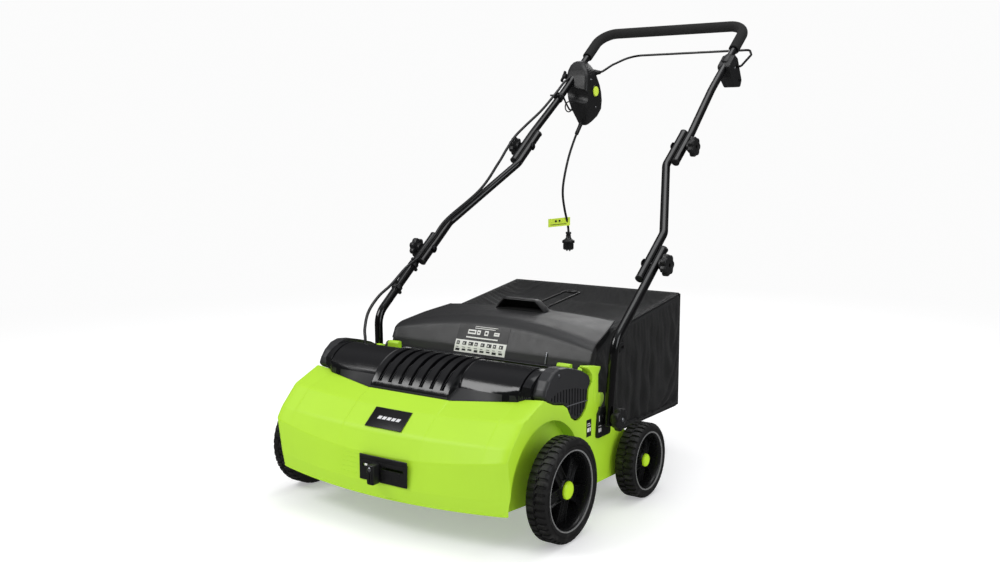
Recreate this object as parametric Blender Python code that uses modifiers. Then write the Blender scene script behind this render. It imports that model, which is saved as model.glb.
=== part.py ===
"""Walk-behind electric lawn dethatcher with collection bag.

Metres, +Z up.  The nose of the machine points to -Y and the operator stands at +Y.
Every piece is modelled from the front axle line (y = 0, z = wheel radius) and the
whole machine is then shifted by AXLE_Y, which puts the origin on the ground under
the middle of its outline.
"""
import math

import bmesh
import bpy
from mathutils import Matrix, Vector

# ------------------------------------------------------------------ driving dimensions
AXLE_Y = -0.4606          # front axle line along the machine, from the origin
GAP = 0.0003              # running gap between neighbouring solids

FRONT_R = 0.100           # front wheel radius
REAR_R = 0.079            # rear wheel radius
REAR_Y = 0.3176           # wheelbase
TYRE_W = 0.045            # tyre width
WHEEL_X0 = 0.2992         # inner face of a wheel
WHEEL_X1 = WHEEL_X0 + TYRE_W
SPINDLE_R = 0.0060

DECK_X = 0.2880           # half width of the deck
WALL = 0.0040             # moulded wall
ARCH_R = 0.1240           # wheel arch
ARCH_X = 0.2620           # inner wall of the arch
COVER_X = 0.2600          # half width of the louvred cover

MOTOR_Y, MOTOR_Z = 0.030, 0.200
MOTOR_R, MOTOR_HALF = 0.036, 0.072
REEL_Y, REEL_Z, REEL_R = 0.150, 0.098, 0.080
PULLEY_SMALL, PULLEY_LARGE = 0.0110, 0.0300
BELT_X, BELT_W, BELT_T = -0.2490, 0.0090, 0.0026

CRANK_Y, CRANK_Z = 0.055, 0.132      # pivot line of the cranked front axle
FLAP_Y, FLAP_Z = 0.1970, 0.2800      # flap hinge line
LEVER_X = 0.0120                     # depth lever at rest
PLATE_X = 0.0250                     # middle of the depth plate

TUBE_R = 0.0095
TUBE_WALL = 0.0014
BODY_PIVOT = (0.2075, 0.1900)        # lower handle bolt on the deck (y, z)
LOW_JOINT = (0.3920, 0.4850)         # star knob joint, lower to middle tubes
HANDLE_DEG = 38.5                    # slope of the handle
JOINT_STEP = 0.3960                  # along the slope, lower joint to upper joint
GRIP_T = 0.9047                      # along the slope, lower joint to grip
LOWER_X, MIDDLE_X = 0.3120, 0.2925   # tube lines at the lower joint
MID_TOP_X, UPPER_X = 0.2080, 0.2275  # tube lines at the upper joint
GRIP_X = 0.2175                      # outer run of the grip loop
FOAM_R = 0.0143
BOLT_R = 0.0040
KNOB_R = 0.0240
BAIL_PIVOT = (0.9870, 0.9340)

U = (math.cos(math.radians(HANDLE_DEG)), math.sin(math.radians(HANDLE_DEG)))
N = (-U[1], U[0])


def on_handle(t, off=0.0):
    """(y, z) at distance t up the handle from the lower joint, off above it."""
    return (LOW_JOINT[0] + t * U[0] + off * N[0], LOW_JOINT[1] + t * U[1] + off * N[1])


UP_JOINT = on_handle(JOINT_STEP)

# ------------------------------------------------------------------ scene set-up
for old in list(bpy.data.objects):
    bpy.data.objects.remove(old, do_unlink=True)
for block in (bpy.data.meshes, bpy.data.curves, bpy.data.materials):
    for old in list(block):
        block.remove(old)

scene = bpy.context.scene
PARTS = bpy.data.collections.new("lawn_dethatcher")
CUTTERS = bpy.data.collections.new("cutters")
scene.collection.children.link(PARTS)
scene.collection.children.link(CUTTERS)


def srgb(r, g, b):
    def lin(c):
        c /= 255.0
        return c / 12.92 if c <= 0.04045 else ((c + 0.055) / 1.055) ** 2.4
    return (lin(r), lin(g), lin(b), 1.0)


def material(name, rgb, rough, metal=0.0):
    m = bpy.data.materials.new(name)
    m.use_nodes = True
    m.diffuse_color = srgb(*rgb)
    p = m.node_tree.nodes["Principled BSDF"]
    p.inputs["Base Color"].default_value = srgb(*rgb)
    p.inputs["Roughness"].default_value = rough
    p.inputs["Metallic"].default_value = metal
    return m


M = {
    "green": material("green_plastic", (172, 222, 40), 0.38),
    "cover": material("cover_plastic", (34, 34, 37), 0.22),
    "black": material("black_plastic", (42, 42, 44), 0.45),
    "badge": material("badge_film", (18, 18, 20), 0.30),
    "tyre": material("tyre_plastic", (30, 29, 29), 0.60),
    "rim": material("rim_plastic", (24, 24, 26), 0.32),
    "tube": material("painted_tube", (16, 16, 18), 0.18),
    "foam": material("grip_foam", (46, 46, 46), 0.90),
    "steel": material("zinc_steel", (170, 172, 176), 0.35, 1.0),
    "motor": material("motor_steel", (70, 72, 76), 0.45, 1.0),
    "belt": material("belt_rubber", (24, 24, 24), 0.75),
    "fabric": material("bag_fabric", (30, 30, 31), 0.85),
    "cord": material("cord_rubber", (22, 22, 23), 0.50),
    "reel": material("reel_paint", (52, 54, 58), 0.45, 0.6),
}


# ------------------------------------------------------------------ helpers
def new_object(name, mesh, mat=None, coll=PARTS):
    ob = bpy.data.objects.new(name, mesh)
    coll.objects.link(ob)
    if mat:
        mesh.materials.clear()
        mesh.materials.append(M[mat])
    return ob


def smooth(ob, deg=35):
    ob.data.shade_smooth()
    ob.data.set_sharp_from_angle(angle=math.radians(deg))
    return ob


def bake(ob):
    """Replace an object's data by its evaluated mesh, closed and facing out."""
    bpy.context.view_layer.update()
    mesh = bpy.data.meshes.new_from_object(
        ob.evaluated_get(bpy.context.evaluated_depsgraph_get()))
    bm = bmesh.new()
    bm.from_mesh(mesh)
    bmesh.ops.remove_doubles(bm, verts=bm.verts, dist=0.000002)
    bmesh.ops.recalc_face_normals(bm, faces=bm.faces)
    bm.to_mesh(mesh)
    bm.free()
    if ob.type == "MESH":
        ob.modifiers.clear()
        ob.data = mesh
        return ob
    name, coll = ob.name, ob.users_collection[0]
    mats = [m for m in ob.data.materials]
    world = ob.matrix_world.copy()
    bpy.data.objects.remove(ob, do_unlink=True)
    out = bpy.data.objects.new(name, mesh)
    mesh.materials.clear()
    for m in mats:
        mesh.materials.append(m)
    out.matrix_world = world
    coll.objects.link(out)
    return out


def apply_transform(ob):
    ob.data.transform(ob.matrix_basis)
    ob.matrix_basis = Matrix()
    return ob


def cutter(ob):
    for c in list(ob.users_collection):
        c.objects.unlink(ob)
    CUTTERS.objects.link(ob)
    ob.hide_render = True
    ob.display_type = "WIRE"
    return ob


def boolean(ob, tool, op="DIFFERENCE", keep=False):
    m = ob.modifiers.new("cut", "BOOLEAN")
    m.operation = op
    m.solver = "EXACT"
    m.object = tool
    bake(ob)
    if not keep:
        bpy.data.objects.remove(tool, do_unlink=True)
    return ob


def together(tools):
    """One mesh of several tools that don't touch each other."""
    bm = bmesh.new()
    for t in tools:
        me = t.data.copy()
        me.transform(t.matrix_basis)
        bm.from_mesh(me)
        bpy.data.meshes.remove(me)
        bpy.data.objects.remove(t, do_unlink=True)
    mesh = bpy.data.meshes.new("tools")
    bm.to_mesh(mesh)
    bm.free()
    return new_object("tools", mesh)


def box(name, lo, hi, mat=None, bevel=0.0, segments=1):
    bm = bmesh.new()
    bmesh.ops.create_cube(bm, size=1.0)
    size = [hi[i] - lo[i] for i in range(3)]
    bmesh.ops.scale(bm, vec=size, verts=bm.verts)
    mesh = bpy.data.meshes.new(name)
    bm.to_mesh(mesh)
    bm.free()
    ob = new_object(name, mesh, mat)
    ob.location = [(hi[i] + lo[i]) / 2 for i in range(3)]
    if bevel:
        b = ob.modifiers.new("edge", "BEVEL")
        b.width = bevel
        b.segments = segments
        bake(ob)
    return ob


AXES = {"X": Matrix.Rotation(math.pi / 2, 4, "Y"), "Y": Matrix.Rotation(-math.pi / 2, 4, "X"),
        "Z": Matrix()}


def cylinder(name, r, a, b, y, z, mat=None, verts=24, r2=None):
    """Round bar along X from x = a to x = b at (y, z)."""
    bm = bmesh.new()
    bmesh.ops.create_cone(bm, cap_ends=True, segments=verts, radius1=r,
                          radius2=r if r2 is None else r2, depth=b - a)
    bmesh.ops.rotate(bm, cent=(0, 0, 0), matrix=AXES["X"].to_3x3(), verts=bm.verts)
    mesh = bpy.data.meshes.new(name)
    bm.to_mesh(mesh)
    bm.free()
    ob = new_object(name, mesh, mat)
    ob.location = ((a + b) / 2, y, z)
    return smooth(ob)


def lathe(name, profile, y, z, mat=None, steps=32, x=0.0, flip=False):
    """Turned ring or disc: profile = closed list of (radius, x) turned about the X line at (y, z)."""
    bm = bmesh.new()
    vs = [bm.verts.new((r, 0, h)) for r, h in profile]
    for i in range(len(vs)):
        if profile[i][0] > 0 or profile[(i + 1) % len(vs)][0] > 0:
            bm.edges.new((vs[i], vs[(i + 1) % len(vs)]))
    mesh = bpy.data.meshes.new(name)
    bm.to_mesh(mesh)
    bm.free()
    ob = new_object(name, mesh, mat)
    s = ob.modifiers.new("turn", "SCREW")
    s.steps = s.render_steps = steps
    s.use_merge_vertices = True
    s.merge_threshold = 0.000005
    bake(ob)
    ob.data.transform(AXES["X"] if not flip else AXES["X"] @ Matrix.Rotation(math.pi, 4, "X"))
    ob.location = (x, y, z)
    return smooth(ob)


def prism(name, outline, x0, x1, mat=None):
    """Flat outline of (y, z) points given thickness from x0 to x1."""
    cu = bpy.data.curves.new(name, "CURVE")
    cu.dimensions = "2D"
    cu.fill_mode = "BOTH"
    cu.extrude = (x1 - x0) / 2
    sp = cu.splines.new("POLY")
    sp.points.add(len(outline) - 1)
    for p, (yy, zz) in zip(sp.points, outline):
        p.co = (yy, zz, 0, 1)
    sp.use_cyclic_u = True
    ob = bpy.data.objects.new(name, cu)
    PARTS.objects.link(ob)
    ob = bake(ob)
    # the curve's own x, y, z become the machine's y, z, x
    ob.data.transform(Matrix(((0, 0, 1, (x0 + x1) / 2), (1, 0, 0, 0), (0, 1, 0, 0), (0, 0, 0, 1))))
    if mat:
        ob.data.materials.clear()
        ob.data.materials.append(M[mat])
    return ob


def loft(name, rings, mat=None, sharp=35):
    """Closed solid through rings of equally many points, flat at both ends."""
    bm = bmesh.new()
    rows = [[bm.verts.new(p) for p in ring] for ring in rings]
    n = len(rows[0])
    for a, b in zip(rows, rows[1:]):
        for i in range(n):
            bm.faces.new((a[i], a[(i + 1) % n], b[(i + 1) % n], b[i]))
    bmesh.ops.triangulate(bm, faces=bm.faces)     # skewed quads would not be flat
    bm.faces.new(list(reversed(rows[0])))
    bm.faces.new(rows[-1])
    bmesh.ops.recalc_face_normals(bm, faces=bm.faces)
    mesh = bpy.data.meshes.new(name)
    bm.to_mesh(mesh)
    bm.free()
    return smooth(new_object(name, mesh, mat), sharp)


def rounded(points, radius, steps=4):
    """A path with its inner corners turned into arcs."""
    pts = [Vector(p) for p in points]
    out = [pts[0]]
    for i in range(1, len(pts) - 1):
        r = radius[i - 1] if isinstance(radius, (list, tuple)) else radius
        a, b, c = pts[i - 1], pts[i], pts[i + 1]
        d1, d2 = (a - b).normalized(), (c - b).normalized()
        half = d1.angle(d2) / 2
        if r <= 0 or half > math.pi / 2 - 0.01:
            out.append(b)
            continue
        back = min(r / math.tan(half), (a - b).length * 0.48, (c - b).length * 0.48)
        rr = back * math.tan(half)
        centre = b + (d1 + d2).normalized() * (rr / math.sin(half))
        s, e = b + d1 * back - centre, b + d2 * back - centre
        sweep = s.angle(e)
        for k in range(steps + 1):
            f = k / steps
            out.append(centre + (s * math.sin((1 - f) * sweep) + e * math.sin(f * sweep)) / math.sin(sweep))
    out.append(pts[-1])
    return out


def rod(name, points, r, mat=None, res=2, hollow=0.0):
    """Tube or wire along a path of points."""
    cu = bpy.data.curves.new(name, "CURVE")
    cu.dimensions = "3D"
    cu.bevel_depth = r
    cu.bevel_resolution = res
    cu.use_fill_caps = not hollow
    sp = cu.splines.new("POLY")
    sp.points.add(len(points) - 1)
    for p, q in zip(sp.points, points):
        p.co = (*q, 1)
    ob = bpy.data.objects.new(name, cu)
    PARTS.objects.link(ob)
    ob = bake(ob)
    if hollow:
        s = ob.modifiers.new("wall", "SOLIDIFY")
        s.thickness = hollow
        s.offset = -1
        bake(ob)
    if mat:
        ob.data.materials.clear()
        ob.data.materials.append(M[mat])
    return smooth(ob)


def side(name, x):
    return f"{name}_{'right' if x > 0 else 'left'}"


def drill(ob, y, z, x, r=BOLT_R + GAP, half=0.03):
    return boolean(ob, cylinder("drill", r, x - half, x + half, y, z, verts=12))


# ------------------------------------------------------------------ bodies
ROOT = bpy.data.objects.new("machine_origin", None)
PARTS.objects.link(ROOT)
EMPTIES = {}


def body(name, at, parent=None):
    e = bpy.data.objects.new(name + "_axis", None)
    e.empty_display_size = 0.03
    PARTS.objects.link(e)
    e.location = at
    bpy.context.view_layer.update()
    up = EMPTIES[parent] if parent else ROOT
    e.parent = up
    e.matrix_parent_inverse = up.matrix_world.inverted()
    EMPTIES[name] = e
    return e


def ride(ob, name):
    """Hang a piece on its body's empty without moving it."""
    bpy.context.view_layer.update()
    e = EMPTIES[name]
    ob.parent = e
    ob.matrix_parent_inverse = e.matrix_world.inverted()
    return ob


body("chassis", (0, 0, 0))
body("front_axle", (0, CRANK_Y, CRANK_Z), "chassis")
body("depth_lever", (LEVER_X, -0.170, 0.120), "chassis")
body("rear_flap", (0, FLAP_Y, FLAP_Z), "chassis")
body("bag", (0, 0.26, 0.20), "chassis")
body("motor_rotor", (0, MOTOR_Y, MOTOR_Z), "chassis")
body("tine_reel", (0, REEL_Y, REEL_Z), "chassis")
body("lower_handle", (0, *BODY_PIVOT), "chassis")
body("middle_handle", (0, *LOW_JOINT), "lower_handle")
body("upper_handle", (0, *UP_JOINT), "middle_handle")
body("bail", (0, *BAIL_PIVOT), "upper_handle")
body("lock_button", (-0.163, 0.970, 0.882), "upper_handle")
for sx in (-1, 1):
    body(side("front_wheel", sx), (sx * WHEEL_X0, 0, FRONT_R), "front_axle")
    body(side("rear_wheel", sx), (sx * WHEEL_X0, REAR_Y, REAR_R), "chassis")
    body(side("body_knob", sx), (sx * 0.314, *BODY_PIVOT), "lower_handle")
    body(side("lower_knob", sx), (sx * 0.322, *LOW_JOINT), "lower_handle")
    body(side("upper_knob", sx), (sx * 0.238, *UP_JOINT), "upper_handle")


# ------------------------------------------------------------------ deck
def interp(x, table):
    for (a, va), (b, vb) in zip(table, table[1:]):
        if x <= b:
            f = (x - a) / (b - a)
            return tuple(p + (q - p) * f for p, q in zip(va, vb))
    return table[-1][1]


COVER_EDGE = [(0.0, (-0.059, 0.250)), (0.099, (-0.059, 0.250)), (0.237, (-0.024, 0.259)),
              (0.246, (-0.018, 0.2635)), (0.300, (-0.012, 0.2685))]


def deck_ring(x, inset=0.0, floor=None):
    """Outline of the deck across the machine at station x, pulled in by inset."""
    s = abs(x)
    q = s * s
    t = max(0.0, (s - 0.268) / (DECK_X - 0.268))
    edge = 0.008 * (1 - math.sqrt(max(0.0, 1 - min(t, 1.0) ** 2)))
    ey, ez = interp(s, COVER_EDGE)
    i = inset
    foot = 0.0695 + 0.065 * q
    pts = [
        (-0.1565 + 0.42 * q + edge + i, foot - 0.0010 if floor is None else floor),
        (-0.1570 + 0.42 * q + edge + i, foot),
        (-0.1650 + 0.44 * q + edge + i, 0.0965 + 0.10 * q),
        (-0.1580 + 0.22 * q + edge + i, 0.1510 + 0.33 * q - 0.3 * i),
        (-0.1380 + 0.15 * q + 0.8 * edge + 0.9 * i, 0.1930 + 0.09 * q - 0.5 * i - 0.3 * edge),
        (-0.0960 + 0.14 * q + 0.6 * edge + 0.7 * i, 0.2275 + 0.18 * q - 0.8 * i - 0.4 * edge),
        (ey + 0.4 * i, ez - i - 0.2 * edge),
        (ey + 0.012, ez - 0.006 - i),
        (0.020, 0.2540 - i),
        (0.146 + i * 0.2, 0.2540 - i),
        (0.150 + i, 0.2680 - i),
        (0.186 - i, 0.2680 - i),
        (0.196 - i, 0.1750 - i),
        (0.262, 0.1690 - i),
        (0.352 - i, 0.1120 - 0.5 * i),
        (0.352 - i, 0.0520 if floor is None else floor),
        (0.100, 0.0570 if floor is None else floor),
    ]
    return [(x, y, z) for y, z in pts]


HALF = [0.0990, 0.1700, 0.2370, 0.2460, 0.2680, 0.2780, 0.2850, 0.2880]
STATIONS = [-h for h in reversed(HALF)] + [0.0] + HALF
deck = loft("deck_shell", [deck_ring(x) for x in STATIONS], "green", 25)

HALF_IN = [0.0990, 0.1700, 0.2370, 0.2460, 0.2680, 0.2780, 0.2840]
INNER = [-h for h in reversed(HALF_IN)] + [0.0] + HALF_IN
cavity = loft("cavity", [deck_ring(x, WALL, -0.02) for x in INNER])
for sx in (-1, 1):
    lo, hi = sorted((sx * (ARCH_X - WALL), sx * 0.30))
    boolean(cavity, cylinder("arch_wall", ARCH_R + WALL, lo, hi, 0.0, FRONT_R, verts=32))
    lo, hi = sorted((sx * ARCH_X, sx * 0.32))
    boolean(deck, cylinder("arch", ARCH_R, lo, hi, 0.0, FRONT_R, verts=32))
boolean(deck, cavity)
# opening to the bag, between the two cheeks, and the opening under the louvres
boolean(deck, box("outlet", (-ARCH_X, 0.152, -0.03), (ARCH_X, 0.42, 0.206)))
boolean(deck, box("motor_mouth", (-0.225, 0.0, 0.22), (0.225, 0.135, 0.27)))

# side vent pockets that the black end covers fill
VENT = [(-0.0119, 0.2700), (-0.0040, 0.2620), (0.0210, 0.2515), (0.0560, 0.2440), (0.0700, 0.2360),
        (0.0850, 0.2130), (0.0990, 0.2045), (0.1120, 0.2030), (0.1270, 0.2070), (0.1420, 0.2190),
        (0.1500, 0.2350), (0.1520, 0.2560), (0.1600, 0.2640), (0.1640, 0.2720), (0.1640, 0.3400),
        (-0.0119, 0.3400)]


def grown(outline, d):
    """Outline of (y, z) points moved outwards by d."""
    out, n = [], len(outline)
    area = sum(outline[i][0] * outline[(i + 1) % n][1] - outline[(i + 1) % n][0] * outline[i][1]
               for i in range(n))
    s = 1 if area > 0 else -1
    for i in range(n):
        a, b, c = (Vector(outline[(i + k) % n]) for k in (-1, 0, 1))
        d1, d2 = (b - a).normalized(), (c - b).normalized()
        n1, n2 = Vector((d1.y, -d1.x)) * s, Vector((d2.y, -d2.x)) * s
        m = (n1 + n2)
        m = m / max(m.length_squared / 2, 0.5)
        out.append((b.x + m.x * d, b.y + m.y * d))
    return out


for sx in (-1, 1):
    lo, hi = sorted((sx * (COVER_X - 0.0030), sx * 0.32))
    boolean(deck, prism("vent_pocket", grown(VENT, 0.0004), lo, hi))

# rear posts, hinge ears, handle ears and the two latch tabs
ADDS = []
# the right post carries a flared latch head, the left one stops short behind the motor cover
POST_RIGHT = [(0.1600, 0.200), (0.1680, 0.262), (0.1680, 0.283), (0.1560, 0.296), (0.1480, 0.2985),
              (0.1490, 0.3030), (0.2015, 0.2945), (0.2010, 0.2900), (0.1920, 0.280), (0.1930, 0.200)]
POST_LEFT = [(0.1600, 0.200), (0.1680, 0.262), (0.1680, 0.2790), (0.1720, 0.2830), (0.1880, 0.2830),
             (0.1920, 0.2790), (0.1930, 0.200)]
for sx in (-1, 1):
    lo, hi = sorted((sx * 0.2690, sx * 0.2872))
    ADDS.append(prism("post", POST_RIGHT if sx > 0 else POST_LEFT, lo, hi))
    ADDS.append(prism("bracket_tab", [(0.1880, 0.212), (0.1880, 0.240), (0.2120, 0.2385), (0.2165, 0.232),
                                      (0.2150, 0.222), (0.2060, 0.212)], *sorted((sx * 0.2740, sx * 0.2873))))
    lo, hi = sorted((sx * 0.2430, sx * 0.2535))
    ADDS.append(prism("hinge_ear", [(0.1640, 0.230), (0.1640, 0.2600), (0.1880, 0.289), (0.2030, 0.290),
                                    (0.2080, 0.284), (0.2060, 0.268), (0.1900, 0.230)], lo, hi))
    lo, hi = sorted((sx * 0.2700, sx * 0.2930))
    ADDS.append(prism("handle_ear", [(0.1800, 0.150), (0.1850, 0.200), (0.1960, 0.212), (0.2190, 0.212),
                                     (0.2310, 0.200), (0.2370, 0.150)], lo, hi))
    lo, hi = sorted((sx * 0.2560, sx * 0.2860))
    ADDS.append(prism("rear_axle_boss", [(0.297, 0.046), (0.297, 0.100), (0.338, 0.100), (0.338, 0.046)],
                      lo, hi))
for x0 in (-0.2320, 0.2120):
    ADDS.append(prism("latch_tab", [(0.1540, 0.260), (0.1540, 0.296), (0.1570, 0.300), (0.1660, 0.300),
                                    (0.1660, 0.260)], x0, x0 + 0.030))
for a in ADDS:
    boolean(deck, a, "UNION")
for sx in (-1, 1):
    drill(deck, *BODY_PIVOT, sx * 0.28)
    drill(deck, FLAP_Y, FLAP_Z, sx * 0.2480, r=0.0030 + GAP, half=0.008)
    drill(deck, REAR_Y, REAR_R, sx * 0.272, r=SPINDLE_R + GAP, half=0.03)
# slot for the cranked axle's bearing bores in the arch walls
for sx in (-1, 1):
    drill(deck, CRANK_Y, CRANK_Z, sx * 0.262, r=SPINDLE_R + GAP, half=0.012)
# nose recesses for the badge and the depth plate
boolean(deck, box("plate_pocket", (PLATE_X - 0.0589, -0.180, 0.1005), (PLATE_X + 0.0589, -0.1634, 0.1516)))
smooth(deck, 25)
ride(deck, "chassis")

# depth plate with its guide slot
plate = box("depth_plate", (PLATE_X - 0.0585, -0.1670, 0.1009), (PLATE_X + 0.0585, -0.1637, 0.1512), "black")
boolean(plate, box("slot", (PLATE_X - 0.0500, -0.180, 0.1280), (PLATE_X + 0.0500, -0.14, 0.1335)))
ride(plate, "chassis")
# the deck wall behind the plate is opened for the lever's shank
boolean(deck, box("shank_slot", (PLATE_X - 0.0500, -0.175, 0.1280), (PLATE_X + 0.0500, -0.12, 0.1335)))

# badge on the slope of the nose
badge = box("nose_badge", (-0.0455, -0.0235, 0.0), (0.0455, 0.0235, 0.0014), "badge")
badge.rotation_euler = (math.radians(39.4), 0, 0)
badge.location = (0.0, -0.1181, 0.2116)
ride(badge, "chassis")

# depth lever: cap, shank through the slot, and its follower behind the wall
lever = box("depth_lever", (LEVER_X - 0.0085, -0.1930, 0.1010), (LEVER_X + 0.0085, -0.1680, 0.1400),
            "black", bevel=0.002)
boolean(lever, box("shank", (LEVER_X - 0.0040, -0.1720, 0.1288), (LEVER_X + 0.0040, -0.1500, 0.1327)), "UNION")
boolean(lever, box("follower", (LEVER_X - 0.0060, -0.1530, 0.1240), (LEVER_X + 0.0060, -0.1480, 0.1370)), "UNION")
ride(lever, "depth_lever")


# ------------------------------------------------------------------ louvred motor cover
def cover_ring(x):
    """Barrel section of the cover, with the raised louvre band in the middle."""
    s = abs(x)
    band = 1.0 if s <= 0.0985 else 0.0
    top = 0.3130 + 0.0020 * band
    cy, r = 0.041, 0.1125
    pts = []
    ey, ez = interp(s, COVER_EDGE)
    pts.append((ey + 0.0004, ez + 0.0004))
    if band:
        angles = [150, 138, 125, 112, 100, 90, 75, 60, 45, 33]
        for a in angles:
            pts.append((cy + r * math.cos(math.radians(a)), top - r + r * math.sin(math.radians(a))))
    else:
        r = 0.0800
        foot = cy - r * math.cos(math.radians(25))
        angles = [152, 138, 125, 112, 100, 90, 75, 60, 45, 30]
        for a in angles:
            yy = cy + r * math.cos(math.radians(a))
            zz = top - r + r * math.sin(math.radians(a))
            pts.append((max(yy, ey + 0.001), zz))
    pts.append((0.1450, 0.2700))
    pts.append((0.1450, 0.2550))
    pts.append((0.0200, 0.2550))
    pts.append((ey + 0.0125, ez - 0.0045))
    return [(x, y, z) for y, z in pts]


cover = loft("motor_cover", [cover_ring(x) for x in
             (-COVER_X, -0.246, -0.237, -0.1010, -0.0985, 0.0, 0.0985, 0.1010, 0.237, 0.246, COVER_X)],
             "cover", 30)
# hollow it from below
hollow = loft("hollow", [[(x, d - 0.002, 0.200), (x, d, 0.266), (x, d + 0.018, 0.291), (x, 0.018, 0.3050), (x, 0.041, 0.3090),
                          (x, 0.070, 0.3040), (x, 0.096, 0.289), (x, 0.124, 0.266), (x, 0.134, 0.200)]
                         for x, d in ((-0.235, -0.010), (-0.160, -0.027), (0.160, -0.027), (0.235, -0.010))])
boolean(cover, hollow)
boolean(cover, together([box("louvre", (-0.0825 + k * 0.026, -0.034, 0.262), (-0.0735 + k * 0.026, 0.060, 0.33))
                         for k in range(7)]))
smooth(cover, 30)
ride(cover, "chassis")

# end covers with their vent slots
for sx in (-1, 1):
    nm = side("end_cover", sx)
    prof = [(-0.0115, 0.2702), (-0.0037, 0.2625), (0.0212, 0.2520), (0.0563, 0.2445), (0.0704, 0.2364),
            (0.0853, 0.2135), (0.0992, 0.2050), (0.1120, 0.2035), (0.1267, 0.2075), (0.1416, 0.2193),
            (0.1495, 0.2352), (0.1515, 0.2562), (0.1596, 0.2643), (0.1636, 0.2722), (0.1560, 0.2860),
            (0.1290, 0.2990), (0.0980, 0.3080), (0.0700, 0.3145), (0.0450, 0.3170), (0.0250, 0.3120),
            (0.0070, 0.2990), (-0.0050, 0.2840)]
    rings = []
    for xx, d in ((COVER_X + 0.0004, 0.0), (0.2790, 0.0), (0.2852, -0.0010), (0.2876, -0.0032)):
        rings.append([(sx * xx, y, z) for y, z in (prof if d == 0 else grown(prof, d))])
    ec = loft(nm, rings, "cover", 30)
    vents = []
    for k in range(12):
        yy = 0.022 + k * 0.0110
        zb = interp(yy, [(0.0, (0.2600,)), (0.021, (0.2565,)), (0.056, (0.2490,)), (0.070, (0.2430,)),
                         (0.085, (0.2190,)), (0.112, (0.2080,)), (0.142, (0.2240,)), (0.150, (0.2400,))])[0]
        lo, hi = sorted((sx * 0.2700, sx * 0.30))
        zt = 0.2640 + 0.0060 * math.sin(math.pi * min(1.0, k / 8.0) / 2)
        vents.append(box("vent", (lo, yy - 0.0019, zb), (hi, yy + 0.0019, zt)))
    boolean(ec, together(vents))
    smooth(ec, 30)
    ride(ec, "chassis")

# ------------------------------------------------------------------ motor, belt and tine reel
motor = lathe("motor", [(0.0068, -MOTOR_HALF), (0.0068, MOTOR_HALF), (0.020, MOTOR_HALF),
                        (0.024, MOTOR_HALF - 0.006), (MOTOR_R, MOTOR_HALF - 0.010),
                        (MOTOR_R, -MOTOR_HALF + 0.010), (0.024, -MOTOR_HALF + 0.006),
                        (0.020, -MOTOR_HALF)], MOTOR_Y, MOTOR_Z, "motor", 20)
ride(motor, "chassis")

bw = BELT_W / 2 + 0.0012
rotor = lathe("motor_pulley", [(0.0, BELT_X - 0.0070), (PULLEY_SMALL + 0.004, BELT_X - 0.0070),
                               (PULLEY_SMALL + 0.004, BELT_X - bw), (PULLEY_SMALL, BELT_X - bw),
                               (PULLEY_SMALL, BELT_X + bw), (PULLEY_SMALL + 0.004, BELT_X + bw),
                               (PULLEY_SMALL + 0.004, BELT_X + 0.0075), (0.0060, BELT_X + 0.0075),
                               (0.0060, MOTOR_HALF + 0.006), (0.0, MOTOR_HALF + 0.006)],
              MOTOR_Y, MOTOR_Z, "steel", 16)
ride(rotor, "motor_rotor")

pulley = lathe("reel_pulley", [(0.0083, BELT_X - 0.0070), (PULLEY_LARGE + 0.004, BELT_X - 0.0070),
                               (PULLEY_LARGE + 0.004, BELT_X - bw), (PULLEY_LARGE, BELT_X - bw),
                               (PULLEY_LARGE, BELT_X + bw), (PULLEY_LARGE + 0.004, BELT_X + bw),
                               (PULLEY_LARGE + 0.004, BELT_X + 0.0070), (0.0083, BELT_X + 0.0070)],
               REEL_Y, REEL_Z, "black", 20)
ride(pulley, "tine_reel")


def belt_loop(r_small, r_large, steps=10):
    """Open belt path around both pulleys, as (y, z) points."""
    a, b = Vector((MOTOR_Y, MOTOR_Z)), Vector((REEL_Y, REEL_Z))
    d = b - a
    base = math.atan2(d.y, d.x)
    lean = math.acos((r_small - r_large) / d.length)
    out = []
    for k in range(steps + 1):
        t = base + lean + (2 * math.pi - 2 * lean) * k / steps
        out.append((a.x + r_small * math.cos(t), a.y + r_small * math.sin(t)))
    for k in range(steps + 1):
        t = base - lean + 2 * lean * k / steps
        out.append((b.x + r_large * math.cos(t), b.y + r_large * math.sin(t)))
    return out


belt = prism("drive_belt", belt_loop(PULLEY_SMALL + 0.0012 + BELT_T, PULLEY_LARGE + 0.0012 + BELT_T),
             BELT_X - BELT_W / 2, BELT_X + BELT_W / 2, "belt")
boolean(belt, prism("belt_inside", belt_loop(PULLEY_SMALL + 0.0012, PULLEY_LARGE + 0.0012),
                    BELT_X - 0.01, BELT_X + 0.01))
ride(belt, "chassis")

SHAFT_END = 0.2825
reel = lathe("tine_reel", [(0.0, -SHAFT_END), (0.0080, -SHAFT_END), (0.0080, -0.2380), (0.0170, -0.2360),
                           (0.0170, 0.2500), (0.0080, 0.2520), (0.0080, SHAFT_END), (0.0, SHAFT_END)],
             REEL_Y, REEL_Z, "reel", 16)
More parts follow.
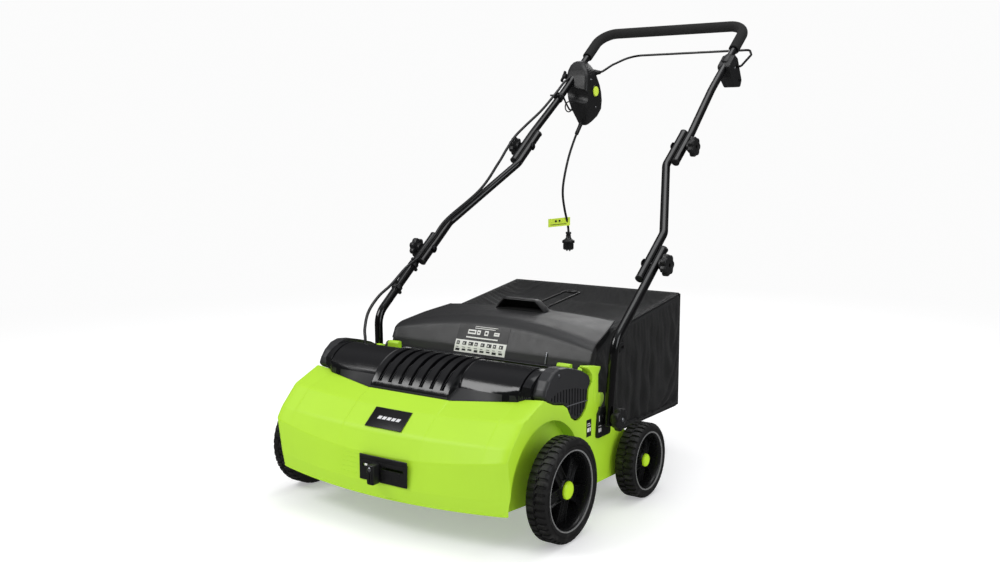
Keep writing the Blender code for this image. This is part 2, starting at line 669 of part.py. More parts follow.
# spring tines: two rows of bent wires, staggered along the reel
bm = bmesh.new()
TINES = 20
for i in range(TINES):
    xc = -0.228 + i * (0.470 / (TINES - 1))
    for_angle = math.radians(90.0 * (i % 4) + 20)
    path = [(0.0125, 0.0), (0.050, 0.004), (REEL_R - 0.0005, -0.010)]
    rows = []
    for rr, back in path:
        c, s = math.cos(for_angle), math.sin(for_angle)
        cy, cz = rr * c - back * s, rr * s + back * c
        ring = []
        for k in range(4):
            t = math.pi * (k + 0.5) / 2
            off, along = 0.0026 * math.sin(t), 0.0026 * math.cos(t)
            ring.append(bm.verts.new((xc + along, cy - off * s, cz + off * c)))
        rows.append(ring)
    for a, b in zip(rows, rows[1:]):
        for k in range(4):
            bm.faces.new((a[k], a[(k + 1) % 4], b[(k + 1) % 4], b[k]))
    bm.faces.new(list(reversed(rows[0])))
    bm.faces.new(rows[-1])
bmesh.ops.recalc_face_normals(bm, faces=bm.faces)
mesh = bpy.data.meshes.new("tines")
bm.to_mesh(mesh)
bm.free()
tines = new_object("tines", mesh)
tines.location = (0, REEL_Y, REEL_Z)
boolean(reel, tines, "UNION")
smooth(reel)
ride(reel, "tine_reel")

for sx in (-1, 1):
    lo, hi = sorted((sx * 0.2700, sx * 0.2836))
    br = lathe(side("reel_bearing", sx), [(0.0083, lo), (0.0083, hi), (0.0170, hi), (0.0170, lo)],
               REEL_Y, REEL_Z, "steel", 16)
    ride(br, "chassis")

# ------------------------------------------------------------------ axles and wheels
ax = rod("front_axle", rounded([(-0.3300, 0, FRONT_R), (-0.2810, 0, FRONT_R), (-0.2810, CRANK_Y, CRANK_Z),
                                (0.2810, CRANK_Y, CRANK_Z), (0.2810, 0, FRONT_R), (0.3300, 0, FRONT_R)],
                               0.008, 3), SPINDLE_R - 0.0002, "steel")
ride(ax, "front_axle")
ra = cylinder("rear_axle", SPINDLE_R, -0.3300, 0.3300, REAR_Y, REAR_R, "steel", 20)
ride(ra, "chassis")


def wheel(tag, sx, big, y):
    """Tyre, five-spoke rim and hub cap; the outer face looks to sx."""
    w = FRONT_R if big else REAR_R
    bodyname = side(f"{tag}_wheel", sx)
    rim_r = w * 0.800
    lip = w * 0.755
    bore = SPINDLE_R + GAP
    x0, x1 = WHEEL_X0, WHEEL_X1
    tyre = lathe(side(f"{tag}_tyre", sx),
                 [(rim_r + GAP, x0 + 0.004), (rim_r + GAP, x1 - 0.003), (lip + GAP + 0.002, x1 - 0.0025),
                  (w * 0.86, x1 - 0.0006), (w * 0.955, x1 - 0.0025), (w, x1 - 0.008),
                  (w, x0 + 0.007), (w * 0.955, x0 + 0.002), (w * 0.86, x0)],
                 y, w, "tyre", 30)
    rim = lathe(side(f"{tag}_rim", sx),
                [(rim_r, x0 + 0.004), (rim_r, x1 - 0.0036), (lip, x1 - 0.0022),
                 (lip - 0.0045, x1 - 0.0045), (lip - 0.0058, x0 + 0.004)],
                y, w, "rim", 30)
    hub = lathe("hub", [(bore, x0 + 0.002), (bore, x1 - 0.0130), (w * 0.20, x1 - 0.0130),
                        (w * 0.26, x0 + 0.010), (w * 0.20, x0 + 0.002)],
                y, w, None, 15)
    for ob in (tyre, rim, hub):
        if sx < 0:
            ob.data.transform(Matrix.Scale(-1, 4, (1, 0, 0)))
            ob.data.flip_normals()
    spokes = []
    for k in range(5):
        a = math.radians(-96 + 72 * k)
        c, s = math.cos(a), math.sin(a)
        t0, t1 = w * 0.095, w * 0.115
        r0, r1 = w * 0.17, lip - 0.0045
        rings = []
        for rr, tt, front in ((r0, t0, x1 - 0.0150), (r1, t1, x1 - 0.0230)):
            back = x0 + 0.012
            ring = []
            for xx, tw in ((back, tt), (front, tt * 0.6)):
                ring.append((sx * xx, y + rr * c - tw * s, w + rr * s + tw * c))
            for xx, tw in ((front, -tt * 0.6), (back, -tt)):
                ring.append((sx * xx, y + rr * c - tw * s, w + rr * s + tw * c))
            rings.append(ring)
        spokes.append(loft("spoke", rings))
    boolean(rim, hub, "UNION")
    boolean(rim, together(spokes), "UNION")
    cap = lathe(side(f"{tag}_hub_cap", sx),
                [(0.0, x1 - 0.0127), (w * 0.17, x1 - 0.0127), (w * 0.172, x1 - 0.0085), (w * 0.150, x1 - 0.0060),
                 (0.0, x1 - 0.0052)], y, w, "green", 20)
    if sx < 0:
        cap.data.transform(Matrix.Scale(-1, 4, (1, 0, 0)))
        cap.data.flip_normals()
    for ob in (tyre, rim, cap):
        smooth(ob, 32)
        ride(ob, bodyname)


for sx in (-1, 1):
    wheel("front", sx, True, 0.0)
    wheel("rear", sx, False, REAR_Y)

# ------------------------------------------------------------------ rear flap
FLAP_LO = 0.2600
# rows from the lower front edge to the back edge: (y, z, half width, fall of y and z at the ends)
FLAP_ROWS = [(0.1990, 0.2720, 0.2600, 0.000, 0.000), (0.2070, 0.3000, 0.2600, 0.001, 0.001),
             (0.2340, 0.3545, 0.2600, 0.016, 0.031), (0.2460, 0.3610, 0.2585, 0.018, 0.032),
             (0.3100, 0.3665, 0.2430, 0.006, 0.022), (0.3780, 0.3665, 0.2220, 0.000, 0.010)]


def flap_row(row, dy, dz):
    y, z, w, fy, fz = row
    return [(w * u, y - fy * u * u + dy, z - fz * u * u + dz) for u in (-1, -0.7, -0.35, 0, 0.35, 0.7, 1)]


flap = loft("rear_flap", [flap_row(r, 0, 0) + list(reversed(flap_row(r, *d))) for r, d in
                          zip(FLAP_ROWS, ((0.0030, -0.0006), (0.0030, -0.0010), (0.0024, -0.0022),
                                          (0.0010, -0.0030), (0.0, -0.0030), (0.0, -0.0030)))], "black", 25)
SKIRT = [(0.1992, 0.2722), (0.2072, 0.3000), (0.2180, 0.3210), (0.2320, 0.3270),
         (0.2340, 0.3060), (0.2200, 0.2820), (0.2040, 0.2660)]
for sx in (-1, 1):
    lo, hi = sorted((sx * 0.2545, sx * 0.2598))
    boolean(flap, prism("skirt", SKIRT, lo, hi), "UNION")
    lo, hi = sorted((sx * 0.2540, sx * 0.2680))
    boolean(flap, cylinder("hinge_eye", 0.0105, lo, hi, FLAP_Y, FLAP_Z, verts=20), "UNION")
    drill(flap, FLAP_Y, FLAP_Z, sx * 0.2600, r=0.0030 + GAP, half=0.014)
    lo, hi = sorted((sx * 0.2427, sx * 0.2538))
    boolean(flap, box("ear_notch", (lo, 0.1800, 0.2600), (hi, 0.2105, 0.2920)))
# finger scoop near the back edge
scoop = loft("scoop", [[(x, 0.3380, 0.3640 - d), (x, 0.3420, 0.3800 - d * 1.6), (x, 0.3520, 0.3830 - d * 1.6),
                        (x, 0.3720, 0.3760 - d), (x, 0.3765, 0.3655 - d)]
                       for x, d in ((-0.066, 0.002), (-0.040, 0.0), (0.040, 0.0), (0.066, 0.002))])
boolean(flap, scoop, "UNION")
boolean(flap, loft("scoop_mouth", [[(x, 0.3300, 0.3672), (x, 0.3300, 0.3785), (x, 0.3620, 0.3770),
                                    (x, 0.3660, 0.3700)] for x in (-0.044, 0.044)]))
smooth(flap, 25)
ride(flap, "rear_flap")
pin = cylinder("flap_pin", 0.0030, -0.2682, 0.2682, FLAP_Y, FLAP_Z, "steel", 14)
ride(pin, "chassis")

# ------------------------------------------------------------------ collection bag
BAG_Y0, BAG_Y1 = 0.2640, 0.6860
BAG_Z0 = 0.1060


def bag_ring(y, inset=0.0):
    f = (y - BAG_Y0) / (BAG_Y1 - BAG_Y0)
    half = 0.2340 + 0.006 * f - inset
    low = BAG_Z0 + inset
    if y < 0.3480:
        top = 0.2980 + (y - BAG_Y0) / (0.3480 - BAG_Y0) * 0.0400
    else:
        top = 0.3420 + (y - 0.3480) / (BAG_Y1 - 0.3480) * 0.0460
    top -= inset
    c = 0.014
    return [(-half, y, low + c), (-half + c, y, low), (half - c, y, low), (half, y, low + c),
            (half, y, top - c), (half - c, y, top), (-half + c, y, top), (-half, y, top - c)]


bag = loft("collection_bag", [bag_ring(y) for y in (BAG_Y0, 0.3478, 0.3482, 0.50, 0.672, BAG_Y1)], "fabric")
boolean(bag, loft("bag_inside", [bag_ring(y, 0.0025) for y in (BAG_Y0 - 0.02, BAG_Y0, 0.3500, 0.3504, 0.50,
                                                               BAG_Y1 - 0.0025)]))
ride(bag, "bag")
bh = rod("bag_handle", rounded([(-0.021, 0.424, 0.3558), (-0.021, 0.430, 0.3630), (-0.021, 0.576, 0.3795),
                                (0.021, 0.576, 0.3795), (0.021, 0.430, 0.3630), (0.021, 0.424, 0.3558)],
                               0.005, 2), 0.0026, "black")
ride(bh, "bag")

# ------------------------------------------------------------------ handle tubes
for sx in (-1, 1):
    y, z = on_handle(-0.227)
    top = on_handle(0.046)
    low = rod(side("lower_tube", sx),
              rounded([(sx * 0.3030, 0.2060, 0.1760), (sx * 0.3055, 0.2100, 0.2400), (sx * 0.3110, y, z),
                       (sx * LOWER_X, *on_handle(-0.12)), (sx * LOWER_X, *top)], [0.0, 0.055, 0.0], 4),
              TUBE_R, "tube", 2, TUBE_WALL)
    drill(low, *BODY_PIVOT, sx * 0.303)
    drill(low, *LOW_JOINT, sx * LOWER_X, half=0.0105)
    ride(smooth(low), "lower_handle")

    mid = rod(side("middle_tube", sx),
              rounded([(sx * MIDDLE_X, *on_handle(-0.046)), (sx * MIDDLE_X, *on_handle(0.0958)),
                       (sx * MID_TOP_X, *on_handle(JOINT_STEP - 0.069)),
                       (sx * MID_TOP_X, *on_handle(JOINT_STEP + 0.052))], 0.040, 3),
              TUBE_R, "tube", 2, TUBE_WALL)
    drill(mid, *LOW_JOINT, sx * MIDDLE_X, half=0.0105)
    drill(mid, *UP_JOINT, sx * MID_TOP_X, half=0.0105)
    ride(smooth(mid), "middle_handle")

    # coach bolts: domed head inside, shank out to the knob
    for tag, at, xin, xout, bname in (("body_bolt", BODY_PIVOT, 0.2636, 0.3215, "lower_handle"),
                                      ("lower_bolt", LOW_JOINT, 0.2827, 0.3300, "lower_handle"),
                                      ("upper_bolt", UP_JOINT, 0.1982, 0.2460, "upper_handle")):
        b = lathe(side(tag, sx), [(0.0, xin - 0.0045), (0.0045, xin - 0.0040), (0.0085, xin - 0.0014),
                                  (0.0085, xin), (BOLT_R, xin), (BOLT_R, xout), (0.0, xout)],
                  *at, "steel", 12)
        if sx < 0:
            b.data.transform(Matrix.Scale(-1, 4, (1, 0, 0)))
            b.data.flip_normals()
        ride(b, bname)

    # star knobs: lobed cap on a stepped boss, tapped for the bolt
    for tag, at, xk in (("body_knob", BODY_PIVOT, 0.3130), ("lower_knob", LOW_JOINT, 0.3220),
                        ("upper_knob", UP_JOINT, 0.2376)):
        rings = []
        for dx, r, lobe in ((0.0005, 0.0115, 0.0), (0.0085, 0.0120, 0.0), (0.0095, KNOB_R, 0.18),
                            (0.0200, KNOB_R, 0.18), (0.0230, KNOB_R - 0.003, 0.16)):
            ring = []
            for k in range(14):
                a = 2 * math.pi * k / 14
                rr = r * (1 - lobe * (0.5 - 0.5 * math.cos(7 * a)))
                ring.append((sx * (xk + dx), at[0] + rr * math.cos(a), at[1] + rr * math.sin(a)))
            rings.append(ring)
        kn = loft(side(tag, sx), rings, "black", 40)
        boolean(kn, cylinder("tap", BOLT_R + GAP, *sorted((sx * (xk - 0.002), sx * (xk + 0.03))), *at, verts=10))
        ride(smooth(kn, 40), side(tag, sx))

# upper loop
T_TOP = GRIP_T
loop = [(-UPPER_X, *on_handle(JOINT_STEP - 0.058)), (-UPPER_X, *on_handle(JOINT_STEP + 0.05)),
        (-GRIP_X, *on_handle(0.62)), (-GRIP_X, *on_handle(T_TOP)),
        (GRIP_X, *on_handle(T_TOP)), (GRIP_X, *on_handle(0.62)),
        (UPPER_X, *on_handle(JOINT_STEP + 0.05)), (UPPER_X, *on_handle(JOINT_STEP - 0.058))]
upper = rod("upper_tube", rounded(loop, [0.0, 0.0, 0.048, 0.048, 0.0, 0.0], 5), TUBE_R, "tube", 2, TUBE_WALL)
for sx in (-1, 1):
    drill(upper, *UP_JOINT, sx * UPPER_X, half=0.0105)
ride(smooth(upper), "upper_handle")

T_FOAM = 0.7935
foam_path = rounded([(-GRIP_X, *on_handle(T_FOAM)), (-GRIP_X, *on_handle(T_TOP)), (GRIP_X, *on_handle(T_TOP)),
                     (GRIP_X, *on_handle(T_FOAM))], 0.048, 5)
foam = rod("foam_grip", foam_path, FOAM_R, "foam", 2, FOAM_R - TUBE_R - 0.0006)
ride(foam, "upper_handle")

# ------------------------------------------------------------------ switch box, bail and bracket
BOX = [(0.9100, 0.9060), (0.9780, 0.9640), (0.9960, 0.9560), (1.0140, 0.9300), (1.0290, 0.8920),
       (1.0320, 0.8560), (0.9960, 0.8060), (0.9680, 0.7880), (0.9380, 0.7950), (0.9130, 0.8480),
       (0.9010, 0.8800)]
rings = []
for x, d in ((-0.2380, -0.004), (-0.2350, -0.001), (-0.2100, 0.0), (-0.1760, 0.0), (-0.1680, -0.003),
             (-0.1650, -0.007)):
    rings.append([(x, y, z) for y, z in grown(BOX, d)])
sbox = loft("switch_box", rings, "black", 30)
tube_cut = rod("tube_cut", [(-GRIP_X, *on_handle(0.60)), (-GRIP_X, *on_handle(0.80))], TUBE_R + 0.0008, None, 4)
boolean(sbox, tube_cut)
boolean(sbox, cylinder("button_well", 0.0142, -0.1760, -0.15, 0.970, 0.882, verts=28))
boolean(sbox, cylinder("bail_well", 0.0031, -0.1960, -0.15, *BAIL_PIVOT, verts=14))
boolean(sbox, box("shell_space", (-0.2340, 0.938, 0.815), (-0.1790, 1.006, 0.900)))
boolean(sbox, box("cord_well", (-0.1995, 0.9290, 0.7800), (-0.1905, 0.9410, 0.8200)))
ride(smooth(sbox, 30), "upper_handle")

button = lathe("lock_button", [(0.0, -0.1718), (0.0136, -0.1718), (0.0136, -0.1640), (0.0120, -0.1620),
                               (0.0, -0.1612)], 0.970, 0.882, "green", 18)
ride(button, "lock_button")

BRK = [(0.9420, 0.9340), (0.9780, 0.9640), (0.9960, 0.9560), (1.0080, 0.9340), (1.0260, 0.9020),
       (1.0180, 0.8840), (0.9880, 0.8820), (0.9560, 0.9060)]
rings = []
for x, d in ((0.2020, -0.003), (0.2045, 0.0), (0.2350, 0.0), (0.2375, -0.003)):
    rings.append([(x, y, z) for y, z in grown(BRK, d)])
brk = loft("bail_bracket", rings, "black", 30)
boolean(brk, rod("tube_cut", [(GRIP_X, *on_handle(0.60)), (GRIP_X, *on_handle(0.80))], TUBE_R + 0.0008, None, 4))
boolean(brk, cylinder("bail_well", 0.0031, 0.2240, 0.25, *BAIL_PIVOT, verts=14))
ride(smooth(brk, 30), "upper_handle")

py, pz = BAIL_PIVOT
bail = rod("bail_lever", rounded([(-0.1940, py, pz), (-0.1580, py, pz), (-0.1450, py + 0.040, pz + 0.022),
                                  (-0.1150, py + 0.098, pz + 0.049), (0.2330, py + 0.098, pz + 0.049),
                                  (0.2480, py + 0.070, pz + 0.034), (0.2480, py, pz), (0.2255, py, pz)],
                                 [0.006, 0.03, 0.03, 0.012, 0.01, 0.006], 2), 0.0026, "cord", 1)
ride(smooth(bail), "bail")

# ------------------------------------------------------------------ cables, clip, cord and plug
mc = rod("motor_cable_lower", rounded([(-0.2400, 0.0900, 0.3090), (-0.2480, 0.1000, 0.3230), (-0.2700, 0.1250, 0.3500),
                                       (-0.2890, 0.1700, 0.3760), (-0.2930, 0.2150, 0.4000)], 0.03, 3),
         0.0034, "cord", 1)
ride(mc, "chassis")
C = 0.0160
mc = rod("motor_cable_middle", rounded([(-MIDDLE_X, *on_handle(0.030, C)), (-MIDDLE_X, *on_handle(0.090, C)),
                                        (-0.2500, *on_handle(0.200, C + 0.002)),
                                        (-0.2370, *on_handle(0.290, C + 0.012))], 0.05, 3), 0.0034, "cord", 1)
ride(mc, "middle_handle")
mc = rod("motor_cable_upper", rounded([(-0.2330, *on_handle(0.410, C + 0.018)), (-0.2330, *on_handle(0.47, C + 0.012)),
                                       (-0.2240, *on_handle(0.58, C + 0.005)), (-0.2200, *on_handle(0.650, C + 0.003)),
                                       (-0.2200, *on_handle(0.665, C + 0.002))], 0.04, 3), 0.0034, "cord", 1)
ride(mc, "upper_handle")

clip = rod("cord_retainer", rounded([(-0.2400, *on_handle(0.600, 0.0125)), (-0.2010, *on_handle(0.600, 0.0125)),
                                     (-0.2010, *on_handle(0.600, -0.0130)), (-0.1990, *on_handle(0.602, -0.0400)),
                                     (-0.1870, *on_handle(0.604, -0.0400)), (-0.1870, *on_handle(0.606, -0.0180))],
                                    0.006, 3), 0.0024, "black", 1)
ride(clip, "upper_handle")

cord = rod("power_cord", [(-0.1950, 0.9350, 0.8050), (-0.1950, 0.9290, 0.7880), (-0.1960, 0.9120, 0.7620), (-0.2000, 0.8900, 0.7050),
                          (-0.2040, 0.8720, 0.6400), (-0.2060, 0.8700, 0.6000), (-0.2060, 0.8790, 0.5600),
                          (-0.2050, 0.8900, 0.5250), (-0.2050, 0.8960, 0.5010), (-0.2050, 0.8965, 0.4890)],
           0.0032, "cord", 1)
ride(cord, "upper_handle")
plug = lathe("power_plug", [(0.0036, 0.050), (0.0075, 0.048), (0.0060, 0.036), (0.0120, 0.030), (0.0165, 0.022),
                            (0.0165, 0.019), (0.0135, 0.017), (0.0135, 0.0), (0.0, 0.0), (0.0, 0.040), (0.0036, 0.040)],
             0.0, 0.0, "cord", 14)
plug.data.transform(AXES["X"].inverted())
plug.location = (-0.2050, 0.8965, 0.4460)
bpy.context.view_layer.update()
ride(plug, "upper_handle")

# ------------------------------------------------------------------ shift to the origin
ROOT.location = (0, AXLE_Y, 0)
bpy.context.view_layer.update()
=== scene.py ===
"""Looks of the walk-behind electric dethatcher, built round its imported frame."""
import math
import random

import bmesh
import bpy
import numpy as np
from mathutils import Matrix, Vector


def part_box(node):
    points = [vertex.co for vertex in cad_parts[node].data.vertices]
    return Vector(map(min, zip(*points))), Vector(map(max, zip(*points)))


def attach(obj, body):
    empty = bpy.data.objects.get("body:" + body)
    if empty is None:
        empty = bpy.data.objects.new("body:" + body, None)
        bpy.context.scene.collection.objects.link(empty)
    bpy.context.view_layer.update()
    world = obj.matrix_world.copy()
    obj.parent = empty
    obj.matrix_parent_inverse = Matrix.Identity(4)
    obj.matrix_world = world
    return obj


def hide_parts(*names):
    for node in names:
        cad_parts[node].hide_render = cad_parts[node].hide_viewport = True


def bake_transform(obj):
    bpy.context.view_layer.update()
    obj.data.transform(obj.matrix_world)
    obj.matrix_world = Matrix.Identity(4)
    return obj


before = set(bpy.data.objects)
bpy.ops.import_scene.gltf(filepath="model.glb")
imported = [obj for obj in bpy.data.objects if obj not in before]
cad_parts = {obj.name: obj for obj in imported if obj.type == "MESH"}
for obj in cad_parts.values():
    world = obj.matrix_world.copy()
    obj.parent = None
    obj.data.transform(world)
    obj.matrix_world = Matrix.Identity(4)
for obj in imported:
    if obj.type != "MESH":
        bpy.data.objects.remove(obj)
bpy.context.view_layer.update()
random.seed(7)

# everything below is worked out from the front axle line on the ground; AY takes it to the row frame
_lo, _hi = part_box("front_tyre_left")
AY = (_lo.y + _hi.y) / 2
WHEEL_X0, WHEEL_X1 = -_hi.x, -_lo.x
FRONT_R = (_hi.z - _lo.z) / 2
_lo, _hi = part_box("rear_tyre_left")
REAR_R, REAR_Y = (_hi.z - _lo.z) / 2, (_lo.y + _hi.y) / 2 - AY
SPINDLE_R = 0.0060

DECK_X = 0.2880           # half width of the deck
WALL = 0.0040             # moulded wall
ARCH_R = 0.1240           # wheel arch
ARCH_X = 0.2620           # inner wall of the arch
COVER_X = 0.2600          # half width of the louvred cover

MOTOR_Y, MOTOR_Z = 0.030, 0.200
MOTOR_R, MOTOR_HALF = 0.036, 0.072
REEL_Y, REEL_Z, REEL_R = 0.150, 0.098, 0.080
PULLEY_SMALL, PULLEY_LARGE = 0.0110, 0.0300
BELT_X, BELT_W, BELT_T = -0.2490, 0.0090, 0.0026

CRANK_Y, CRANK_Z = 0.055, 0.132      # pivot line of the cranked front axle
FLAP_Y, FLAP_Z = 0.1970, 0.2800      # flap hinge line
LEVER_X = 0.0120                     # depth lever at rest
PLATE_X = 0.0250                     # middle of the depth plate

TUBE_R = 0.0095
TUBE_WALL = 0.0014
BODY_PIVOT = (0.2075, 0.1900)        # lower handle bolt on the deck (y, z)
LOW_JOINT = (0.3920, 0.4850)         # star knob joint, lower to middle tubes
HANDLE_DEG = 38.5                    # slope of the handle
JOINT_STEP = 0.3960                  # along the slope, lower joint to upper joint
GRIP_T = 0.9047                      # along the slope, lower joint to grip
LOWER_X, MIDDLE_X = 0.3120, 0.2925   # tube lines at the lower joint
MID_TOP_X, UPPER_X = 0.2080, 0.2275  # tube lines at the upper joint
GRIP_X = 0.2175                      # outer run of the grip loop
FOAM_R = 0.0143
BOLT_R = 0.0040
KNOB_R = 0.0240
BAIL_PIVOT = (0.9870, 0.9340)

U = (math.cos(math.radians(HANDLE_DEG)), math.sin(math.radians(HANDLE_DEG)))
N = (-U[1], U[0])

PARTS = bpy.context.scene.collection
CUTTERS = PARTS
M = {}


def srgb(r, g, b):
    def lin(c):
        c /= 255.0
        return c / 12.92 if c <= 0.04045 else ((c + 0.055) / 1.055) ** 2.4
    return (lin(r), lin(g), lin(b), 1.0)


def material(key, rgb, rough, metal=0.0, coat=0.0, vary=0.06, rough_vary=0.08, vary_scale=14.0,
             grain=0.0, grain_scale=1400.0, wave=0.0, wave_scale=3.0, sheen=0.0, weave=0.0, weave_pitch=900.0,
             stretch=None, dust=0.0, spec=0.5):
    m = bpy.data.materials.new(key)
    m.use_nodes = True
    nt = m.node_tree
    nd, ln = nt.nodes, nt.links
    p = nd["Principled BSDF"]
    p.inputs["Metallic"].default_value = metal
    p.inputs["Coat Weight"].default_value = coat
    p.inputs["Coat Roughness"].default_value = 0.06
    p.inputs["Specular IOR Level"].default_value = spec
    if sheen:
        p.inputs["Sheen Weight"].default_value = sheen
        p.inputs["Sheen Roughness"].default_value = 0.5
    tc = nd.new("ShaderNodeTexCoord")
    mp = nd.new("ShaderNodeMapping")
    ln.new(tc.outputs["Object"], mp.inputs["Vector"])
    if stretch:
        mp.inputs["Scale"].default_value = stretch

    def noise(scale, detail=4.0, vec=None):
        n = nd.new("ShaderNodeTexNoise")
        n.inputs["Scale"].default_value = scale
        n.inputs["Detail"].default_value = detail
        ln.new((vec or mp).outputs["Vector"], n.inputs["Vector"])
        return n
    n1 = noise(vary_scale)
    mix = nd.new("ShaderNodeMixRGB")
    c = srgb(*rgb)
    mix.inputs[1].default_value = (c[0] * (1 - vary), c[1] * (1 - vary), c[2] * (1 - vary), 1)
    mix.inputs[2].default_value = (min(1, c[0] * (1 + vary)), min(1, c[1] * (1 + vary)), min(1, c[2] * (1 + vary)), 1)
    ln.new(n1.outputs["Fac"], mix.inputs[0])
    col = mix
    if dust:
        n3 = noise(60.0, 8.0)
        rp = nd.new("ShaderNodeValToRGB")
        rp.color_ramp.elements[0].position = 0.55
        rp.color_ramp.elements[1].position = 0.80
        rp.color_ramp.elements[1].color = (dust, dust, dust, 1)
        ln.new(n3.outputs["Fac"], rp.inputs["Fac"])
        mx = nd.new("ShaderNodeMixRGB")
        ln.new(rp.outputs["Color"], mx.inputs[0])
        ln.new(col.outputs[0], mx.inputs[1])
        mx.inputs[2].default_value = (0.30, 0.29, 0.27, 1)
        col = mx
    n2 = noise(vary_scale * 3.3, 6.0)
    mr = nd.new("ShaderNodeMapRange")
    mr.inputs["To Min"].default_value = max(0.02, rough - rough_vary)
    mr.inputs["To Max"].default_value = min(1.0, rough + rough_vary)
    ln.new(n2.outputs["Fac"], mr.inputs["Value"])
    ln.new(mr.outputs[0], p.inputs["Roughness"])
    last = None

    def bump(height, strength, distance):
        nonlocal last
        b = nd.new("ShaderNodeBump")
        b.inputs["Strength"].default_value = strength
        b.inputs["Distance"].default_value = distance
        ln.new(height, b.inputs["Height"])
        if last:
            ln.new(last.outputs["Normal"], b.inputs["Normal"])
        last = b
    if wave:
        bump(noise(wave_scale, 2.0).outputs["Fac"], wave, 0.004)
    if grain:
        bump(noise(grain_scale, 3.0).outputs["Fac"], grain, 0.0004)
    if weave:
        sep = nd.new("ShaderNodeSeparateXYZ")
        ln.new(mp.outputs["Vector"], sep.inputs[0])

        def thread(a, b):
            s = nd.new("ShaderNodeMath"); s.operation = "ADD"
            ln.new(sep.outputs[a], s.inputs[0]); ln.new(sep.outputs[b], s.inputs[1])
            k = nd.new("ShaderNodeMath"); k.operation = "MULTIPLY"
            ln.new(s.outputs[0], k.inputs[0]); k.inputs[1].default_value = weave_pitch
            w = nd.new("ShaderNodeMath"); w.operation = "SINE"
            ln.new(k.outputs[0], w.inputs[0])
            return w
        a, b = thread("X", "Z"), thread("Y", "Z")
        mu = nd.new("ShaderNodeMath"); mu.operation = "MULTIPLY"
        ln.new(a.outputs[0], mu.inputs[0]); ln.new(b.outputs[0], mu.inputs[1])
        bump(mu.outputs[0], weave, 0.0005)
        fr = nd.new("ShaderNodeMapRange")
        fr.inputs["From Min"].default_value = -1.0
        ln.new(mu.outputs[0], fr.inputs["Value"])
        dk = nd.new("ShaderNodeMixRGB"); dk.blend_type = "MULTIPLY"
        dk.inputs[0].default_value = 0.5
        ln.new(col.outputs[0], dk.inputs[1]); ln.new(fr.outputs[0], dk.inputs[2])
        br = nd.new("ShaderNodeMixRGB"); br.blend_type = "MIX"; br.inputs[0].default_value = 0.5
        ln.new(col.outputs[0], br.inputs[1]); ln.new(dk.outputs[0], br.inputs[2])
        col = br
    ln.new(col.outputs[0], p.inputs["Base Color"])
    if last:
        ln.new(last.outputs["Normal"], p.inputs["Normal"])
    m.diffuse_color = c
    M[key] = m
    return m


material("green_plastic", (176, 222, 46), 0.46, vary=0.03, rough_vary=0.05, grain=0.12, grain_scale=2200, wave=0.02, wave_scale=9, coat=0.0, spec=0.4)
material("cap_green", (186, 228, 26), 0.30, vary=0.03, grain=0.08, grain_scale=2400, coat=0.1)
material("cover_gloss", (16, 16, 18), 0.16, vary=0.05, rough_vary=0.04, grain=0.05, grain_scale=1800, coat=0.0, spec=0.42)
material("cover_side", (44, 44, 46), 0.34, vary=0.05, grain=0.08, grain_scale=1800, spec=0.4)
# painted highlight: light grey for the rib across the black end cover's vents
material("cover_rib", (96, 96, 100), 0.4)
material("badge_mark", (215, 216, 218), 0.4)
material("cover_matt", (32, 32, 34), 0.50, grain=0.25, grain_scale=1600)
material("black_plastic", (24, 24, 25), 0.42, grain=0.25, grain_scale=1500, vary=0.06)
material("flap_plastic", (36, 36, 37), 0.42, grain=0.22, grain_scale=1300, wave=0.03, wave_scale=10, vary=0.06)
material("badge_film", (10, 10, 12), 0.32, grain=0.04, spec=0.3)
material("badge_rim", (70, 72, 74), 0.35, grain=0.1)
material("tyre_plastic", (23, 22, 22), 0.55, grain=0.35, grain_scale=900, vary=0.12, dust=0.10)
material("rim_plastic", (15, 15, 16), 0.28, grain=0.18, grain_scale=1500)
# painted highlight: light grey for the lip ring of the black rims
material("rim_lip", (120, 120, 120), 0.42, grain=0.15, grain_scale=1500)
material("painted_tube", (7, 7, 8), 0.17, coat=0.15, vary=0.10, rough_vary=0.05, grain=0.04, grain_scale=700)
material("grip_foam", (28, 28, 28), 0.92, grain=0.9, grain_scale=1500, vary=0.14, vary_scale=300)
material("zinc_steel", (188, 190, 194), 0.30, metal=1.0, grain=0.2, grain_scale=900, vary=0.08)
material("motor_steel", (84, 86, 90), 0.40, metal=0.9, grain=0.2, grain_scale=700)
material("copper", (150, 84, 48), 0.35, metal=1.0, grain=0.3, grain_scale=900)
material("belt_rubber", (24, 24, 24), 0.75, grain=0.4, grain_scale=900)
material("bag_fabric", (19, 19, 20), 0.72, vary=0.10, weave=0.55, weave_pitch=2600.0, sheen=0.06, wave=0.25, wave_scale=26)
material("bag_piping", (20, 20, 21), 0.60, grain=0.5, grain_scale=1800, weave=0.4, weave_pitch=3600.0)
material("cord_rubber", (20, 20, 21), 0.40, grain=0.15, grain_scale=900)
material("reel_paint", (58, 60, 64), 0.40, metal=0.5, grain=0.2, grain_scale=800, dust=0.12)
material("label_film", (10, 10, 11), 0.38, grain=0.04, spec=0.4)
material("label_white", (226, 226, 222), 0.45, grain=0.06)
material("label_dark", (30, 30, 31), 0.45, grain=0.06)
material("label_yellow", (214, 196, 40), 0.45, grain=0.06)
material("tag_green", (205, 232, 62), 0.50, grain=0.10)
material("black_zinc", (40, 40, 42), 0.30, metal=0.9, grain=0.2, grain_scale=900)
# painted shade: near-black material for sheets put where only shade falls, inside the depth slot and the scoop recess
material("inside_dark", (12, 12, 12), 0.80, grain=0.2)

def new_object(name, mesh, mat=None, coll=None):
    ob = bpy.data.objects.new(name, mesh)
    PARTS.objects.link(ob)
    if mat:
        mesh.materials.clear()
        mesh.materials.append(M[mat])
    return ob


def on_handle(t, off=0.0):
    """(y, z) at distance t up the handle from the lower joint, off above it."""
    return (LOW_JOINT[0] + t * U[0] + off * N[0], LOW_JOINT[1] + t * U[1] + off * N[1])


